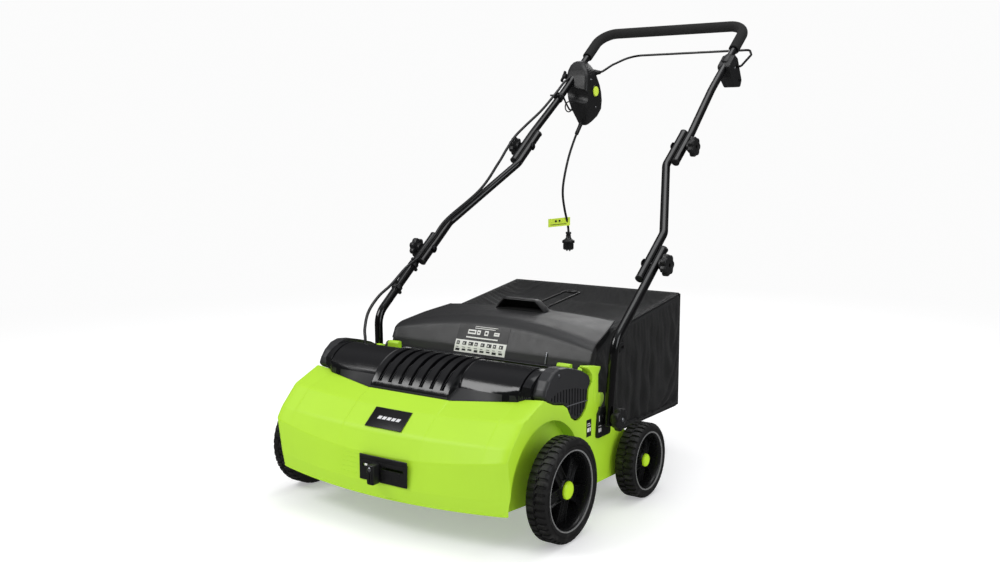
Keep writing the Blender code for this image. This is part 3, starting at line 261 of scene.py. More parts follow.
UP_JOINT = on_handle(JOINT_STEP)


def smooth(ob, deg=35):
    ob.data.shade_smooth()
    ob.data.set_sharp_from_angle(angle=math.radians(deg))
    return ob


def bake(ob):
    """Replace an object's data by its evaluated mesh, closed and facing out."""
    bpy.context.view_layer.update()
    mesh = bpy.data.meshes.new_from_object(
        ob.evaluated_get(bpy.context.evaluated_depsgraph_get()))
    bm = bmesh.new()
    bm.from_mesh(mesh)
    bmesh.ops.remove_doubles(bm, verts=bm.verts, dist=0.000002)
    bmesh.ops.recalc_face_normals(bm, faces=bm.faces)
    bm.to_mesh(mesh)
    bm.free()
    if ob.type == "MESH":
        ob.modifiers.clear()
        ob.data = mesh
        return ob
    name, coll = ob.name, ob.users_collection[0]
    mats = [m for m in ob.data.materials]
    world = ob.matrix_world.copy()
    bpy.data.objects.remove(ob, do_unlink=True)
    out = bpy.data.objects.new(name, mesh)
    mesh.materials.clear()
    for m in mats:
        mesh.materials.append(m)
    out.matrix_world = world
    coll.objects.link(out)
    return out


def boolean(ob, tool, op="DIFFERENCE", keep=False):
    m = ob.modifiers.new("cut", "BOOLEAN")
    m.operation = op
    m.solver = "EXACT"
    m.object = tool
    bake(ob)
    if not keep:
        bpy.data.objects.remove(tool, do_unlink=True)
    return ob


def together(tools):
    """One mesh of several tools that don't touch each other."""
    bm = bmesh.new()
    for t in tools:
        me = t.data.copy()
        me.transform(t.matrix_basis)
        bm.from_mesh(me)
        bpy.data.meshes.remove(me)
        bpy.data.objects.remove(t, do_unlink=True)
    mesh = bpy.data.meshes.new("tools")
    bm.to_mesh(mesh)
    bm.free()
    return new_object("tools", mesh)


def box(name, lo, hi, mat=None, bevel=0.0, segments=1):
    bm = bmesh.new()
    bmesh.ops.create_cube(bm, size=1.0)
    size = [hi[i] - lo[i] for i in range(3)]
    bmesh.ops.scale(bm, vec=size, verts=bm.verts)
    mesh = bpy.data.meshes.new(name)
    bm.to_mesh(mesh)
    bm.free()
    ob = new_object(name, mesh, mat)
    ob.location = [(hi[i] + lo[i]) / 2 for i in range(3)]
    if bevel:
        b = ob.modifiers.new("edge", "BEVEL")
        b.width = bevel
        b.segments = segments
        bake(ob)
    return ob


AXES = {"X": Matrix.Rotation(math.pi / 2, 4, "Y"), "Y": Matrix.Rotation(-math.pi / 2, 4, "X"),
        "Z": Matrix()}


def cylinder(name, r, a, b, y, z, mat=None, verts=24, r2=None):
    """Round bar along X from x = a to x = b at (y, z)."""
    bm = bmesh.new()
    bmesh.ops.create_cone(bm, cap_ends=True, segments=verts, radius1=r,
                          radius2=r if r2 is None else r2, depth=b - a)
    bmesh.ops.rotate(bm, cent=(0, 0, 0), matrix=AXES["X"].to_3x3(), verts=bm.verts)
    mesh = bpy.data.meshes.new(name)
    bm.to_mesh(mesh)
    bm.free()
    ob = new_object(name, mesh, mat)
    ob.location = ((a + b) / 2, y, z)
    return smooth(ob)


def lathe(name, profile, y, z, mat=None, steps=32, x=0.0, flip=False):
    """Turned ring or disc: profile = closed list of (radius, x) turned about the X line at (y, z)."""
    bm = bmesh.new()
    vs = [bm.verts.new((r, 0, h)) for r, h in profile]
    for i in range(len(vs)):
        if profile[i][0] > 0 or profile[(i + 1) % len(vs)][0] > 0:
            bm.edges.new((vs[i], vs[(i + 1) % len(vs)]))
    mesh = bpy.data.meshes.new(name)
    bm.to_mesh(mesh)
    bm.free()
    ob = new_object(name, mesh, mat)
    s = ob.modifiers.new("turn", "SCREW")
    s.steps = s.render_steps = steps
    s.use_merge_vertices = True
    s.merge_threshold = 0.000005
    bake(ob)
    ob.data.transform(AXES["X"] if not flip else AXES["X"] @ Matrix.Rotation(math.pi, 4, "X"))
    ob.location = (x, y, z)
    return smooth(ob)


def prism(name, outline, x0, x1, mat=None):
    """Flat outline of (y, z) points given thickness from x0 to x1."""
    cu = bpy.data.curves.new(name, "CURVE")
    cu.dimensions = "2D"
    cu.fill_mode = "BOTH"
    cu.extrude = (x1 - x0) / 2
    sp = cu.splines.new("POLY")
    sp.points.add(len(outline) - 1)
    for p, (yy, zz) in zip(sp.points, outline):
        p.co = (yy, zz, 0, 1)
    sp.use_cyclic_u = True
    ob = bpy.data.objects.new(name, cu)
    PARTS.objects.link(ob)
    ob = bake(ob)
    # the curve's own x, y, z become the machine's y, z, x
    ob.data.transform(Matrix(((0, 0, 1, (x0 + x1) / 2), (1, 0, 0, 0), (0, 1, 0, 0), (0, 0, 0, 1))))
    if mat:
        ob.data.materials.clear()
        ob.data.materials.append(M[mat])
    return ob


def loft(name, rings, mat=None, sharp=35):
    """Closed solid through rings of equally many points, flat at both ends."""
    bm = bmesh.new()
    rows = [[bm.verts.new(p) for p in ring] for ring in rings]
    n = len(rows[0])
    for a, b in zip(rows, rows[1:]):
        for i in range(n):
            bm.faces.new((a[i], a[(i + 1) % n], b[(i + 1) % n], b[i]))
    bmesh.ops.triangulate(bm, faces=bm.faces)     # skewed quads would not be flat
    bm.faces.new(list(reversed(rows[0])))
    bm.faces.new(rows[-1])
    bmesh.ops.recalc_face_normals(bm, faces=bm.faces)
    mesh = bpy.data.meshes.new(name)
    bm.to_mesh(mesh)
    bm.free()
    return smooth(new_object(name, mesh, mat), sharp)


def rounded(points, radius, steps=4):
    """A path with its inner corners turned into arcs."""
    pts = [Vector(p) for p in points]
    out = [pts[0]]
    for i in range(1, len(pts) - 1):
        r = radius[i - 1] if isinstance(radius, (list, tuple)) else radius
        a, b, c = pts[i - 1], pts[i], pts[i + 1]
        d1, d2 = (a - b).normalized(), (c - b).normalized()
        half = d1.angle(d2) / 2
        if r <= 0 or half > math.pi / 2 - 0.01:
            out.append(b)
            continue
        back = min(r / math.tan(half), (a - b).length * 0.48, (c - b).length * 0.48)
        rr = back * math.tan(half)
        centre = b + (d1 + d2).normalized() * (rr / math.sin(half))
        s, e = b + d1 * back - centre, b + d2 * back - centre
        sweep = s.angle(e)
        for k in range(steps + 1):
            f = k / steps
            out.append(centre + (s * math.sin((1 - f) * sweep) + e * math.sin(f * sweep)) / math.sin(sweep))
    out.append(pts[-1])
    return out


def rod(name, points, r, mat=None, res=2, hollow=0.0):
    """Tube or wire along a path of points."""
    cu = bpy.data.curves.new(name, "CURVE")
    cu.dimensions = "3D"
    cu.bevel_depth = r
    cu.bevel_resolution = res
    cu.use_fill_caps = not hollow
    sp = cu.splines.new("POLY")
    sp.points.add(len(points) - 1)
    for p, q in zip(sp.points, points):
        p.co = (*q, 1)
    ob = bpy.data.objects.new(name, cu)
    PARTS.objects.link(ob)
    ob = bake(ob)
    if hollow:
        s = ob.modifiers.new("wall", "SOLIDIFY")
        s.thickness = hollow
        s.offset = -1
        bake(ob)
    if mat:
        ob.data.materials.clear()
        ob.data.materials.append(M[mat])
    return smooth(ob)


def side(name, x):
    return f"{name}_{'right' if x > 0 else 'left'}"


def interp(x, table):
    for (a, va), (b, vb) in zip(table, table[1:]):
        if x <= b:
            f = (x - a) / (b - a)
            return tuple(p + (q - p) * f for p, q in zip(va, vb))
    return table[-1][1]


COVER_EDGE = [(0.0, (-0.059, 0.250)), (0.099, (-0.059, 0.250)), (0.237, (-0.024, 0.259)),
              (0.246, (-0.018, 0.2635)), (0.300, (-0.012, 0.2685))]


def deck_ring(x, inset=0.0, floor=None):
    """Outline of the deck across the machine at station x, pulled in by inset."""
    s = abs(x)
    q = s * s
    t = max(0.0, (s - 0.268) / (DECK_X - 0.268))
    edge = 0.008 * (1 - math.sqrt(max(0.0, 1 - min(t, 1.0) ** 2)))
    ey, ez = interp(s, COVER_EDGE)
    i = inset
    foot = 0.0695 + 0.065 * q
    pts = [
        (-0.1565 + 0.42 * q + edge + i, foot - 0.0010 if floor is None else floor),
        (-0.1570 + 0.42 * q + edge + i, foot),
        (-0.1650 + 0.44 * q + edge + i, 0.0965 + 0.10 * q),
        (-0.1580 + 0.22 * q + edge + i, 0.1510 + 0.33 * q - 0.3 * i),
        (-0.1380 + 0.15 * q + 0.8 * edge + 0.9 * i, 0.1930 + 0.09 * q - 0.5 * i - 0.3 * edge),
        (-0.0960 + 0.14 * q + 0.6 * edge + 0.7 * i, 0.2275 + 0.18 * q - 0.8 * i - 0.4 * edge),
        (ey + 0.4 * i, ez - i - 0.2 * edge),
        (ey + 0.012, ez - 0.006 - i),
        (0.020, 0.2540 - i),
        (0.146 + i * 0.2, 0.2540 - i),
        (0.150 + i, 0.2680 - i),
        (0.186 - i, 0.2680 - i),
        (0.196 - i, 0.1750 - i),
        (0.262, 0.1690 - i),
        (0.352 - i, 0.1120 - 0.5 * i),
        (0.352 - i, 0.0520 if floor is None else floor),
        (0.100, 0.0570 if floor is None else floor),
    ]
    return [(x, y, z) for y, z in pts]


VENT = [(-0.0119, 0.2700), (-0.0040, 0.2620), (0.0210, 0.2515), (0.0560, 0.2440), (0.0700, 0.2360),
        (0.0850, 0.2130), (0.0990, 0.2045), (0.1120, 0.2030), (0.1270, 0.2070), (0.1420, 0.2190),
        (0.1500, 0.2350), (0.1520, 0.2560), (0.1600, 0.2640), (0.1640, 0.2720), (0.1640, 0.3400),
        (-0.0119, 0.3400)]


def grown(outline, d):
    """Outline of (y, z) points moved outwards by d."""
    out, n = [], len(outline)
    area = sum(outline[i][0] * outline[(i + 1) % n][1] - outline[(i + 1) % n][0] * outline[i][1]
               for i in range(n))
    s = 1 if area > 0 else -1
    for i in range(n):
        a, b, c = (Vector(outline[(i + k) % n]) for k in (-1, 0, 1))
        d1, d2 = (b - a).normalized(), (c - b).normalized()
        n1, n2 = Vector((d1.y, -d1.x)) * s, Vector((d2.y, -d2.x)) * s
        m = (n1 + n2)
        m = m / max(m.length_squared / 2, 0.5)
        out.append((b.x + m.x * d, b.y + m.y * d))
    return out


def belt_loop(r_small, r_large, steps=10):
    """Open belt path around both pulleys, as (y, z) points."""
    a, b = Vector((MOTOR_Y, MOTOR_Z)), Vector((REEL_Y, REEL_Z))
    d = b - a
    base = math.atan2(d.y, d.x)
    lean = math.acos((r_small - r_large) / d.length)
    out = []
    for k in range(steps + 1):
        t = base + lean + (2 * math.pi - 2 * lean) * k / steps
        out.append((a.x + r_small * math.cos(t), a.y + r_small * math.sin(t)))
    for k in range(steps + 1):
        t = base - lean + 2 * lean * k / steps
        out.append((b.x + r_large * math.cos(t), b.y + r_large * math.sin(t)))
    return out


SKIRT = [(0.1992, 0.2722), (0.2072, 0.3000), (0.2180, 0.3210), (0.2320, 0.3270),
         (0.2340, 0.3060), (0.2200, 0.2820), (0.2040, 0.2660)]


def put(ob, name, body, slot, *nodes, bevel=0.0, seg=2, deg=35, angle=40, weighted=False):
    """Name a finished piece, take it to the row frame and hang it on its body."""
    if bevel:
        b = ob.modifiers.new("edge", "BEVEL")
        b.width = bevel
        b.segments = seg
        b.limit_method = "ANGLE"
        b.angle_limit = math.radians(angle)
        b.harden_normals = False
        mats = [m for m in ob.data.materials]
        bpy.context.view_layer.update()
        mesh = bpy.data.meshes.new_from_object(ob.evaluated_get(bpy.context.evaluated_depsgraph_get()))
        ob.modifiers.clear()
        ob.data = mesh
        if not mesh.materials:
            for m in mats:
                mesh.materials.append(m)
    ob.data.transform(ob.matrix_basis)
    ob.matrix_basis = Matrix()
    ob.data.transform(Matrix.Translation((0, AY, 0)))
    smooth(ob, deg)
    ob.name = name
    ob.data.name = name
    if weighted:
        w = ob.modifiers.new("even", "WEIGHTED_NORMAL")
        w.keep_sharp = True
    if isinstance(body, str):
        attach(ob, body)
    if nodes:
        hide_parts(*nodes)
    return ob


def mirror_x(ob):
    ob.data.transform(Matrix.Scale(-1, 4, (1, 0, 0)))
    ob.data.flip_normals()
    return ob


def fillet(outline, radii, steps=4):
    """Closed (y, z) outline with rounded corners; the number of points never depends on the shape."""
    n, out = len(outline), []
    for i in range(n):
        r = radii[i] if isinstance(radii, (list, tuple)) else radii
        b = Vector(outline[i])
        if r <= 0:
            out.append((b.x, b.y))
            continue
        a, c = Vector(outline[i - 1]), Vector(outline[(i + 1) % n])
        d1, d2 = a - b, c - b
        l1, l2 = max(d1.length, 1e-9), max(d2.length, 1e-9)
        d1, d2 = d1 / l1, d2 / l2
        ang = math.acos(max(-1.0, min(1.0, d1.dot(d2))))
        back = min(r / max(math.tan(ang / 2), 1e-3), l1 * 0.46, l2 * 0.46)
        s, e = b + d1 * back, b + d2 * back
        for k in range(steps + 1):
            f = k / steps
            p = s * (1 - f) ** 2 + b * (2 * f * (1 - f)) + e * f * f
            out.append((p.x, p.y))
    return out


def catmull(points, per=6):
    """Smooth path through 3-D points."""
    p = [Vector(q) for q in points]
    p = [p[0] * 2 - p[1]] + p + [p[-1] * 2 - p[-2]]
    out = []
    for i in range(1, len(p) - 2):
        for k in range(per):
            t = k / per
            out.append(0.5 * ((2 * p[i]) + (p[i + 1] - p[i - 1]) * t
                              + (2 * p[i - 1] - 5 * p[i] + 4 * p[i + 1] - p[i + 2]) * t * t
                              + (3 * p[i] - p[i - 1] - 3 * p[i + 1] + p[i + 2]) * t ** 3))
    out.append(p[-2])
    return out


def disc(name, r, depth, at, normal, mat, verts=32, dome=0.0):
    """Small round piece lying on a surface: at = centre of its seat."""
    prof = [(0.0, 0.0), (r, 0.0), (r, depth * 0.6), (r * 0.9, depth), (r * 0.6, depth + dome * 0.6), (0.0, depth + dome)]
    ob = lathe(name, prof, 0, 0, mat, verts)
    q = Vector((1, 0, 0)).rotation_difference(Vector(normal))
    ob.data.transform(q.to_matrix().to_4x4())
    ob.location = at
    return ob


def cross_screw(name, at, normal, r=0.0036):
    """Round-headed screw with a cross recess."""
    ob = lathe(name, [(0.0, -0.002), (r, -0.002), (r, 0.0006), (r * 0.75, 0.0016), (0.0, 0.0020)], 0, 0, "zinc_steel", 28)
    apply(ob)
    for a in (0, 1):
        lo, hi = (0.0008, -r * 0.62, -r * 0.14), (0.004, r * 0.62, r * 0.14)
        if a:
            lo, hi = (lo[0], lo[2], lo[1]), (hi[0], hi[2], hi[1])
        boolean(ob, box("cross", lo, hi))
    q = Vector((1, 0, 0)).rotation_difference(Vector(normal))
    ob.data.transform(q.to_matrix().to_4x4())
    ob.location = at
    return ob


def apply(ob):
    ob.data.transform(ob.matrix_basis)
    ob.matrix_basis = Matrix()
    return ob


def patch(name, rows, mat, thick=0.0, deg=60):
    """Sheet through rows of points, with thickness if asked."""
    bm = bmesh.new()
    vs = [[bm.verts.new(p) for p in r] for r in rows]
    for a, b in zip(vs, vs[1:]):
        for i in range(len(a) - 1):
            bm.faces.new((a[i], a[i + 1], b[i + 1], b[i]))
    mesh = bpy.data.meshes.new(name)
    bm.to_mesh(mesh)
    bm.free()
    ob = new_object(name, mesh, mat)
    if thick:
        s = ob.modifiers.new("t", "SOLIDIFY")
        s.thickness = thick
        s.offset = 1
        bake(ob)
    return ob


# ------------------------------------------------------------------ deck
D_R = [0.0, 0.0015, 0.0035, 0.006, 0.030, 0.030, 0.0012, 0.0, 0.0, 0.0, 0.003, 0.003, 0.012, 0.02, 0.012, 0.0, 0.0]
D_RI = [0.0] * 17


def hi_ring(x):
    ring = [(y, z) for _, y, z in deck_ring(x)]
    pts = fillet(ring, D_R, 5)
    s = abs(x)
    out = []
    for y, z in pts:
        # faint panel in the middle of the hood, under the louvre band
        if y < -0.050 and z > 0.150:
            f = min(1.0, (z - 0.150) / 0.08)
            lift = 0.0014 * f * (1 / (1 + math.exp((s - 0.1005) / 0.0007)))
            lift -= 0.0010 * f * (1 / (1 + math.exp(-(s - 0.2385) / 0.0007)))
            y, z = y - lift * 0.6, z + lift * 0.8
        out.append((x, y, z))
    return out


xs = sorted(set([round(v, 5) for v in np.linspace(-0.262, 0.262, 43)]
                + [s * v for s in (-1, 1) for v in (0.0985, 0.0995, 0.1005, 0.1015, 0.1025, 0.2365, 0.2378, 0.2388, 0.2400,
                                                    0.2660, 0.2700, 0.2735, 0.2765, 0.2795, 0.2820, 0.2842, 0.2860, 0.2872, 0.2880)]))
deck = loft("deck", [hi_ring(x) for x in xs], "green_plastic", 30)
HALF_IN = [0.0495, 0.0990, 0.1350, 0.1700, 0.2050, 0.2370, 0.2460, 0.2580, 0.2680, 0.2780, 0.2840]
INNER = [-h for h in reversed(HALF_IN)] + [0.0] + HALF_IN
cavity = loft("cavity", [deck_ring(x, 0.0040, -0.02) for x in INNER])
for sx in (-1, 1):
    lo, hi = sorted((sx * (0.2620 - 0.0040), sx * 0.30))
    boolean(cavity, cylinder("arch_wall", 0.1280, lo, hi, 0.0, FRONT_R, verts=96))
    lo, hi = sorted((sx * 0.2620, sx * 0.32))
    boolean(deck, cylinder("arch", 0.1240, lo, hi, 0.0, FRONT_R, verts=96))
boolean(deck, cavity)
boolean(deck, box("outlet", (-0.262, 0.152, -0.03), (0.262, 0.42, 0.206)))
boolean(deck, box("motor_mouth", (-0.225, 0.0, 0.22), (0.225, 0.135, 0.27)))
VENT_HI = fillet(grown(VENT, 0.0004), 0.006, 4)
for sx in (-1, 1):
    lo, hi = sorted((sx * 0.2570, sx * 0.32))
    boolean(deck, prism("vent_pocket", VENT_HI, lo, hi))
tools = [cylinder("drill", 0.0043, sx * 0.28 - 0.03, sx * 0.28 + 0.03, *BODY_PIVOT, verts=24) for sx in (-1, 1)]
tools += [cylinder("drill", SPINDLE_R + 0.0003, sx * 0.262 - 0.012, sx * 0.262 + 0.012, 0.055, 0.132, verts=24) for sx in (-1, 1)]
boolean(deck, together(tools))
boolean(deck, box("plate_pocket", (0.0250 - 0.0589, -0.180, 0.1005), (0.0250 + 0.0589, -0.1634, 0.1516), bevel=0.003, segments=3))
boolean(deck, box("shank_slot", (0.0250 - 0.0540, -0.175, 0.1200), (0.0250 + 0.0540, -0.12, 0.1420)))
# painted shade: a near-black sheet behind the depth slot stands for the shade inside it
put(box("back", (0.0250 - 0.0580, -0.1450, 0.1150), (0.0250 + 0.0580, -0.1435, 0.1470), "inside_dark", bevel=0.0005), "depth_slot_backing", "chassis", "black_plastic")
put(deck, "deck_hood", "chassis", "green_plastic", "deck_shell", deg=32, weighted=True)

# rolled bead along the bottom lip
bead = []
for x in np.linspace(-0.2800, 0.2800, 61):
    r = deck_ring(float(x))
    bead.append((float(x), r[1][1] + 0.0016, r[1][2] + 0.0002))
put(rod("bead", bead, 0.0027, "green_plastic", 3), "deck_lip_bead", "chassis", "green_plastic")

# embossed depth scale to the left of the plate
for k, bz in enumerate((0.1085, 0.1180, 0.1275, 0.1370, 0.1465)):
    pts = []
    for x in np.linspace(-0.0860, -0.0420, 8):
        r = deck_ring(float(x))
        f = (bz - r[2][2]) / (r[3][2] - r[2][2])
        pts.append((float(x), r[2][1] + (r[3][1] - r[2][1]) * f + 0.0002, bz))
    put(rod("bar", pts, 0.0007, "green_plastic", 2), f"deck_scale_bar_{k + 1}", "chassis", "green_plastic")

# posts, tabs, ears and bosses
POST = [(0.1600, 0.200), (0.1680, 0.262), (0.1680, 0.283), (0.1560, 0.296), (0.1480, 0.2985), (0.1490, 0.3030),
        (0.2015, 0.2945), (0.2010, 0.2900), (0.1920, 0.280), (0.1930, 0.200)]
POST_LEFT = [(0.1600, 0.200), (0.1680, 0.262), (0.1680, 0.2790), (0.1720, 0.2830), (0.1880, 0.2830), (0.1920, 0.2790), (0.1930, 0.200)]
for sx in (-1, 1):
    def pr(nm, outline, a, b, rad, name, bev=0.0012, mat="green_plastic"):
        o = prism(nm, fillet(outline, rad, 4), *sorted((sx * a, sx * b)))
        o.data.materials.clear()
        o.data.materials.append(M[mat])
        return put(o, side(name, sx), "chassis", "green_plastic", bevel=bev)
    pr("p", POST if sx > 0 else POST_LEFT, 0.2690, 0.2872, 0.004, "deck_post")
    pr("p", [(0.1700, 0.225), (0.1730, 0.2650), (0.1800, 0.2740), (0.1880, 0.2720), (0.1880, 0.225)], 0.2868, 0.2884, 0.002,
       "deck_post_rib", 0.0005)
    pr("p", [(0.1880, 0.212), (0.1880, 0.240), (0.2120, 0.2385), (0.2165, 0.232), (0.2150, 0.222), (0.2060, 0.212)],
       0.2740, 0.2873, 0.003, "deck_bracket_tab")
    pr("p", [(0.1640, 0.230), (0.1640, 0.2600), (0.1880, 0.289), (0.2030, 0.290), (0.2080, 0.284), (0.2060, 0.268), (0.1900, 0.230)],
       0.2430, 0.2535, 0.004, "deck_hinge_ear")
    o = prism("ear", fillet([(0.1800, 0.150), (0.1850, 0.200), (0.1960, 0.212), (0.2190, 0.212), (0.2310, 0.200), (0.2370, 0.150)], 0.007, 4),
              *sorted((sx * 0.2700, sx * 0.2930)))
    o.data.materials.append(M["green_plastic"])
    boolean(o, cylinder("drill", 0.0043, sx * 0.28 - 0.03, sx * 0.28 + 0.03, *BODY_PIVOT, verts=24))
    o.data.materials.clear(); o.data.materials.append(M["black_plastic"])
    put(o, side("deck_handle_ear", sx), "chassis", "green_plastic", bevel=0.0015)
    o = prism("boss", fillet([(0.297, 0.046), (0.297, 0.100), (0.338, 0.100), (0.338, 0.046)], 0.010, 5),
              *sorted((sx * 0.2560, sx * 0.2860)))
    o.data.materials.append(M["green_plastic"])
    boolean(o, cylinder("drill", SPINDLE_R + 0.0003, sx * 0.272 - 0.03, sx * 0.272 + 0.03, REAR_Y, REAR_R, verts=24))
    put(o, side("deck_rear_boss", sx), "chassis", "green_plastic", bevel=0.0015)
for nm, x0 in (("left", -0.2320), ("right", 0.2120)):
    o = prism("tab", fillet([(0.1540, 0.260), (0.1540, 0.296), (0.1570, 0.300), (0.1660, 0.300), (0.1660, 0.260)], 0.0025, 3), x0, x0 + 0.030)
    o.data.materials.clear()
    o.data.materials.append(M["green_plastic"])
    put(o, "deck_latch_tab_" + nm, "chassis", "green_plastic", bevel=0.001)

# depth plate, its groove and numbers-free scale marks
plate = box("p", (0.0250 - 0.0585, -0.1670, 0.1009), (0.0250 + 0.0585, -0.1637, 0.1512), "black_plastic", bevel=0.0028, segments=3)
boolean(plate, box("slot", (0.0250 - 0.0500, -0.180, 0.1280), (0.0250 + 0.0500, -0.14, 0.1335)))
apply(plate)
boolean(plate, box("groove", (0.0250 - 0.0540, -0.1680, 0.1400), (0.0250 + 0.0540, -0.1664, 0.1424)))
put(plate, "depth_scale_plate", "chassis", "black_plastic", "depth_plate", bevel=0.0004, seg=2)
for k in range(5):
    bx = 0.0250 - 0.040 + k * 0.020
    o = box("m", (bx - 0.0008, -0.1674, 0.1080), (bx + 0.0008, -0.1668, 0.1180 + 0.002 * k), "black_plastic")
    put(o, f"depth_mark_{k + 1}", "chassis", "black_plastic", bevel=0.0002, seg=1)
_a, _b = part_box("depth_lever")
LX = (_a.x + _b.x) / 2
lev = box("lever", (LX - 0.0085, -0.1895, 0.1010), (LX + 0.0085, -0.1680, 0.1400), "black_plastic", bevel=0.0035, segments=4)
apply(lev)
boolean(lev, together([box("g", (LX - 0.0012, -0.2, 0.1060), (LX + 0.0012, -0.1880, 0.1240)),
                       box("h", (LX - 0.0070, -0.2, 0.1075), (LX - 0.0050, -0.1885, 0.1240)),
                       box("i", (LX + 0.0050, -0.2, 0.1075), (LX + 0.0070, -0.1885, 0.1240))]))
put(lev, "depth_lever_cap", "depth_lever", "black_plastic", "depth_lever", bevel=0.0004)
o = cross_screw("screw", (LX, -0.1895, 0.1315), (0, -1, 0), 0.0042)
put(o, "depth_lever_screw", "depth_lever", "zinc_steel")
sh = box("sh", (LX - 0.0040, -0.1720, 0.1288), (LX + 0.0040, -0.1500, 0.1327), "black_plastic", bevel=0.0006)
put(sh, "depth_lever_shank", "depth_lever", "black_plastic")
fo = box("fo", (LX - 0.0060, -0.1530, 0.1240), (LX + 0.0060, -0.1480, 0.1370), "black_plastic", bevel=0.001)
put(fo, "depth_lever_follower", "depth_lever", "black_plastic")

# name plate, left blank
def badge_piece(nm, hx, hy, z0, z1, mat, bev, *nodes):
    o = box("b", (-hx, -hy, z0), (hx, hy, z1), mat, bevel=bev, segments=4)
    apply(o)
    o.data.transform(Matrix.Translation((0.0, -0.1181, 0.2116)) @ Matrix.Rotation(math.radians(39.4), 4, "X"))
    return put(o, nm, "chassis", "badge_film", *nodes, deg=40)


badge_piece("nose_badge_rim", 0.0455, 0.0235, 0.0, 0.0013, "black_plastic", 0.0012, "nose_badge")
badge_piece("nose_badge_film", 0.0443, 0.0223, 0.0004, 0.0017, "badge_film", 0.0009)
# plain mark of five slanted bars, raised a hair from the film
for k in range(5):
    xa = -0.0260 + k * 0.0115
    o = loft("mk", [[(xa + 0.0, -0.0035, h), (xa + 0.0085, -0.0035, h), (xa + 0.0105, 0.0035, h), (xa + 0.0020, 0.0035, h)] for h in (0.0015, 0.0019)], "badge_mark")
    o.data.transform(Matrix.Translation((0.0, -0.1181, 0.2116)) @ Matrix.Rotation(math.radians(39.4), 4, "X"))
    put(o, f"nose_badge_mark_{k + 1}", "chassis", "badge_film", deg=40)

# ------------------------------------------------------------------ motor cover
def cover_hi(x):
    s = abs(x)
    def step(at, w=0.0005):
        return 1 / (1 + math.exp(max(-60, min(60, (s - at) / w))))
    band = step(0.0995)
    rib = math.exp(-((s - 0.0985) / 0.0016) ** 2) * 0.0016
    seam = math.exp(-((s - 0.2405) / 0.0015) ** 4) * 0.0055
    cy = 0.041
    ey, ez = interp(s, COVER_EDGE)
    r = 0.0800 + (0.1125 - 0.0800) * band
    top = 0.3130 + 0.0020 * band
    pts = [(ey + 0.0004, ez + 0.0004)]
    end = max(0.0, (s - 0.2460) / 0.014)
    a0 = 152.0
    first = None
    for k in range(25):
        a = a0 + (31 - a0) * k / 24
        rr = r + rib - seam - 0.0012 * end ** 2
        yy = cy + rr * math.cos(math.radians(a))
        zz = top - r + rr * math.sin(math.radians(a))
        yy = max(yy, ey + 0.001)
        pts.append((yy, zz))
    pts += [(0.1450, 0.2700), (0.1450, 0.2550), (0.0200, 0.2550), (ey + 0.0125, ez - 0.0045)]
    return [(x, y, z) for y, z in pts]


cs = sorted(set([s * v for s in (-1, 1) for v in list(np.linspace(0.0, 0.096, 13)) + [0.0968, 0.0976, 0.0983, 0.0990, 0.0996, 0.1002, 0.1010,
             0.1020, 0.1045, 0.115, 0.13, 0.145, 0.16, 0.175, 0.19, 0.205, 0.22, 0.230, 0.237, 0.2382, 0.2387, 0.2392, 0.2398, 0.2405, 0.2412, 0.2418, 0.2423, 0.2428, 0.2436,
             0.246, 0.250, 0.255, 0.258, 0.260]]))
cover = loft("cover", [cover_hi(float(x)) for x in cs], "cover_gloss", 30)
cover.data.materials.append(M["cover_matt"])
slots = []
for k in range(7):
    xc = -0.0785 + k * 0.0262
    cy, cz, r = 0.041, 0.2025, 0.1125
    arc = []
    lo_a, hi_a = 146.0, 82.0
    n = 18
    for i in range(n + 1):
        a = math.radians(lo_a + (hi_a - lo_a) * i / n)
        arc.append((cy + (r + 0.012) * math.cos(a), cz + (r + 0.012) * math.sin(a)))
    for i in range(n, -1, -1):
        a = math.radians(lo_a + (hi_a - lo_a) * i / n)
        dep = 0.0095 * min(1.0, min(i, n - i) / 2.0 + 0.25)
        arc.append((cy + (r - dep) * math.cos(a), cz + (r - dep) * math.sin(a)))
    slots.append(prism("slot", arc, xc - 0.0048, xc + 0.0048))
boolean(cover, together(slots))
me = cover.data
for p in me.polygons:
    c, nrm = p.center, p.normal
    ang = math.degrees(math.atan2(c.z - 0.2025, c.y - 0.041))
    rad = math.hypot(c.y - 0.041, c.z - 0.2025)
    s = abs(c.x)
    first, second = cover_hi(c.x)[0], cover_hi(c.x)[1]
    if c.y < second[1] - 0.0002 and c.z < second[2] and nrm.y < 0 and nrm.z > 0:
        p.material_index = 1
put(cover, "motor_cover_shell", "chassis", "cover_plastic", "motor_cover", deg=32, weighted=True)
# crest specks: the shut lines of the louvre slats
for k in range(7):
    xc = -0.0785 + k * 0.0262
    o = rod("slat", [(xc - 0.0038, 0.041 + 0.1120 * math.cos(math.radians(a)), 0.2025 + 0.1040 * math.sin(math.radians(a))) for a in (84, 100, 120, 143)], 0.0010, "cover_matt", 2)
    put(o, f"cover_slat_rib_{k + 1}", "chassis", "cover_plastic")
for sx in (-1, 1):
    # screw in its recess at the end of the fascia
    at = (sx * 0.2330, -0.0100, 0.2795)
    nrm = Vector((0, -0.78, 0.62)).normalized()
    ring = lathe("ring", [(0.0040, -0.001), (0.0062, -0.001), (0.0062, 0.0008), (0.0052, 0.0012), (0.0040, 0.0004)], 0, 0, "cover_matt", 32)
    ring.data.transform(Vector((1, 0, 0)).rotation_difference(nrm).to_matrix().to_4x4())
    sx_at = Vector(at)
    EPS = 0
    ring.location = sx_at
    put(ring, side("cover_screw_seat", sx), "chassis", "cover_plastic")
    put(cross_screw("s", sx_at - nrm * 0.0004, nrm, 0.0036), side("cover_screw", sx), "chassis", "zinc_steel")

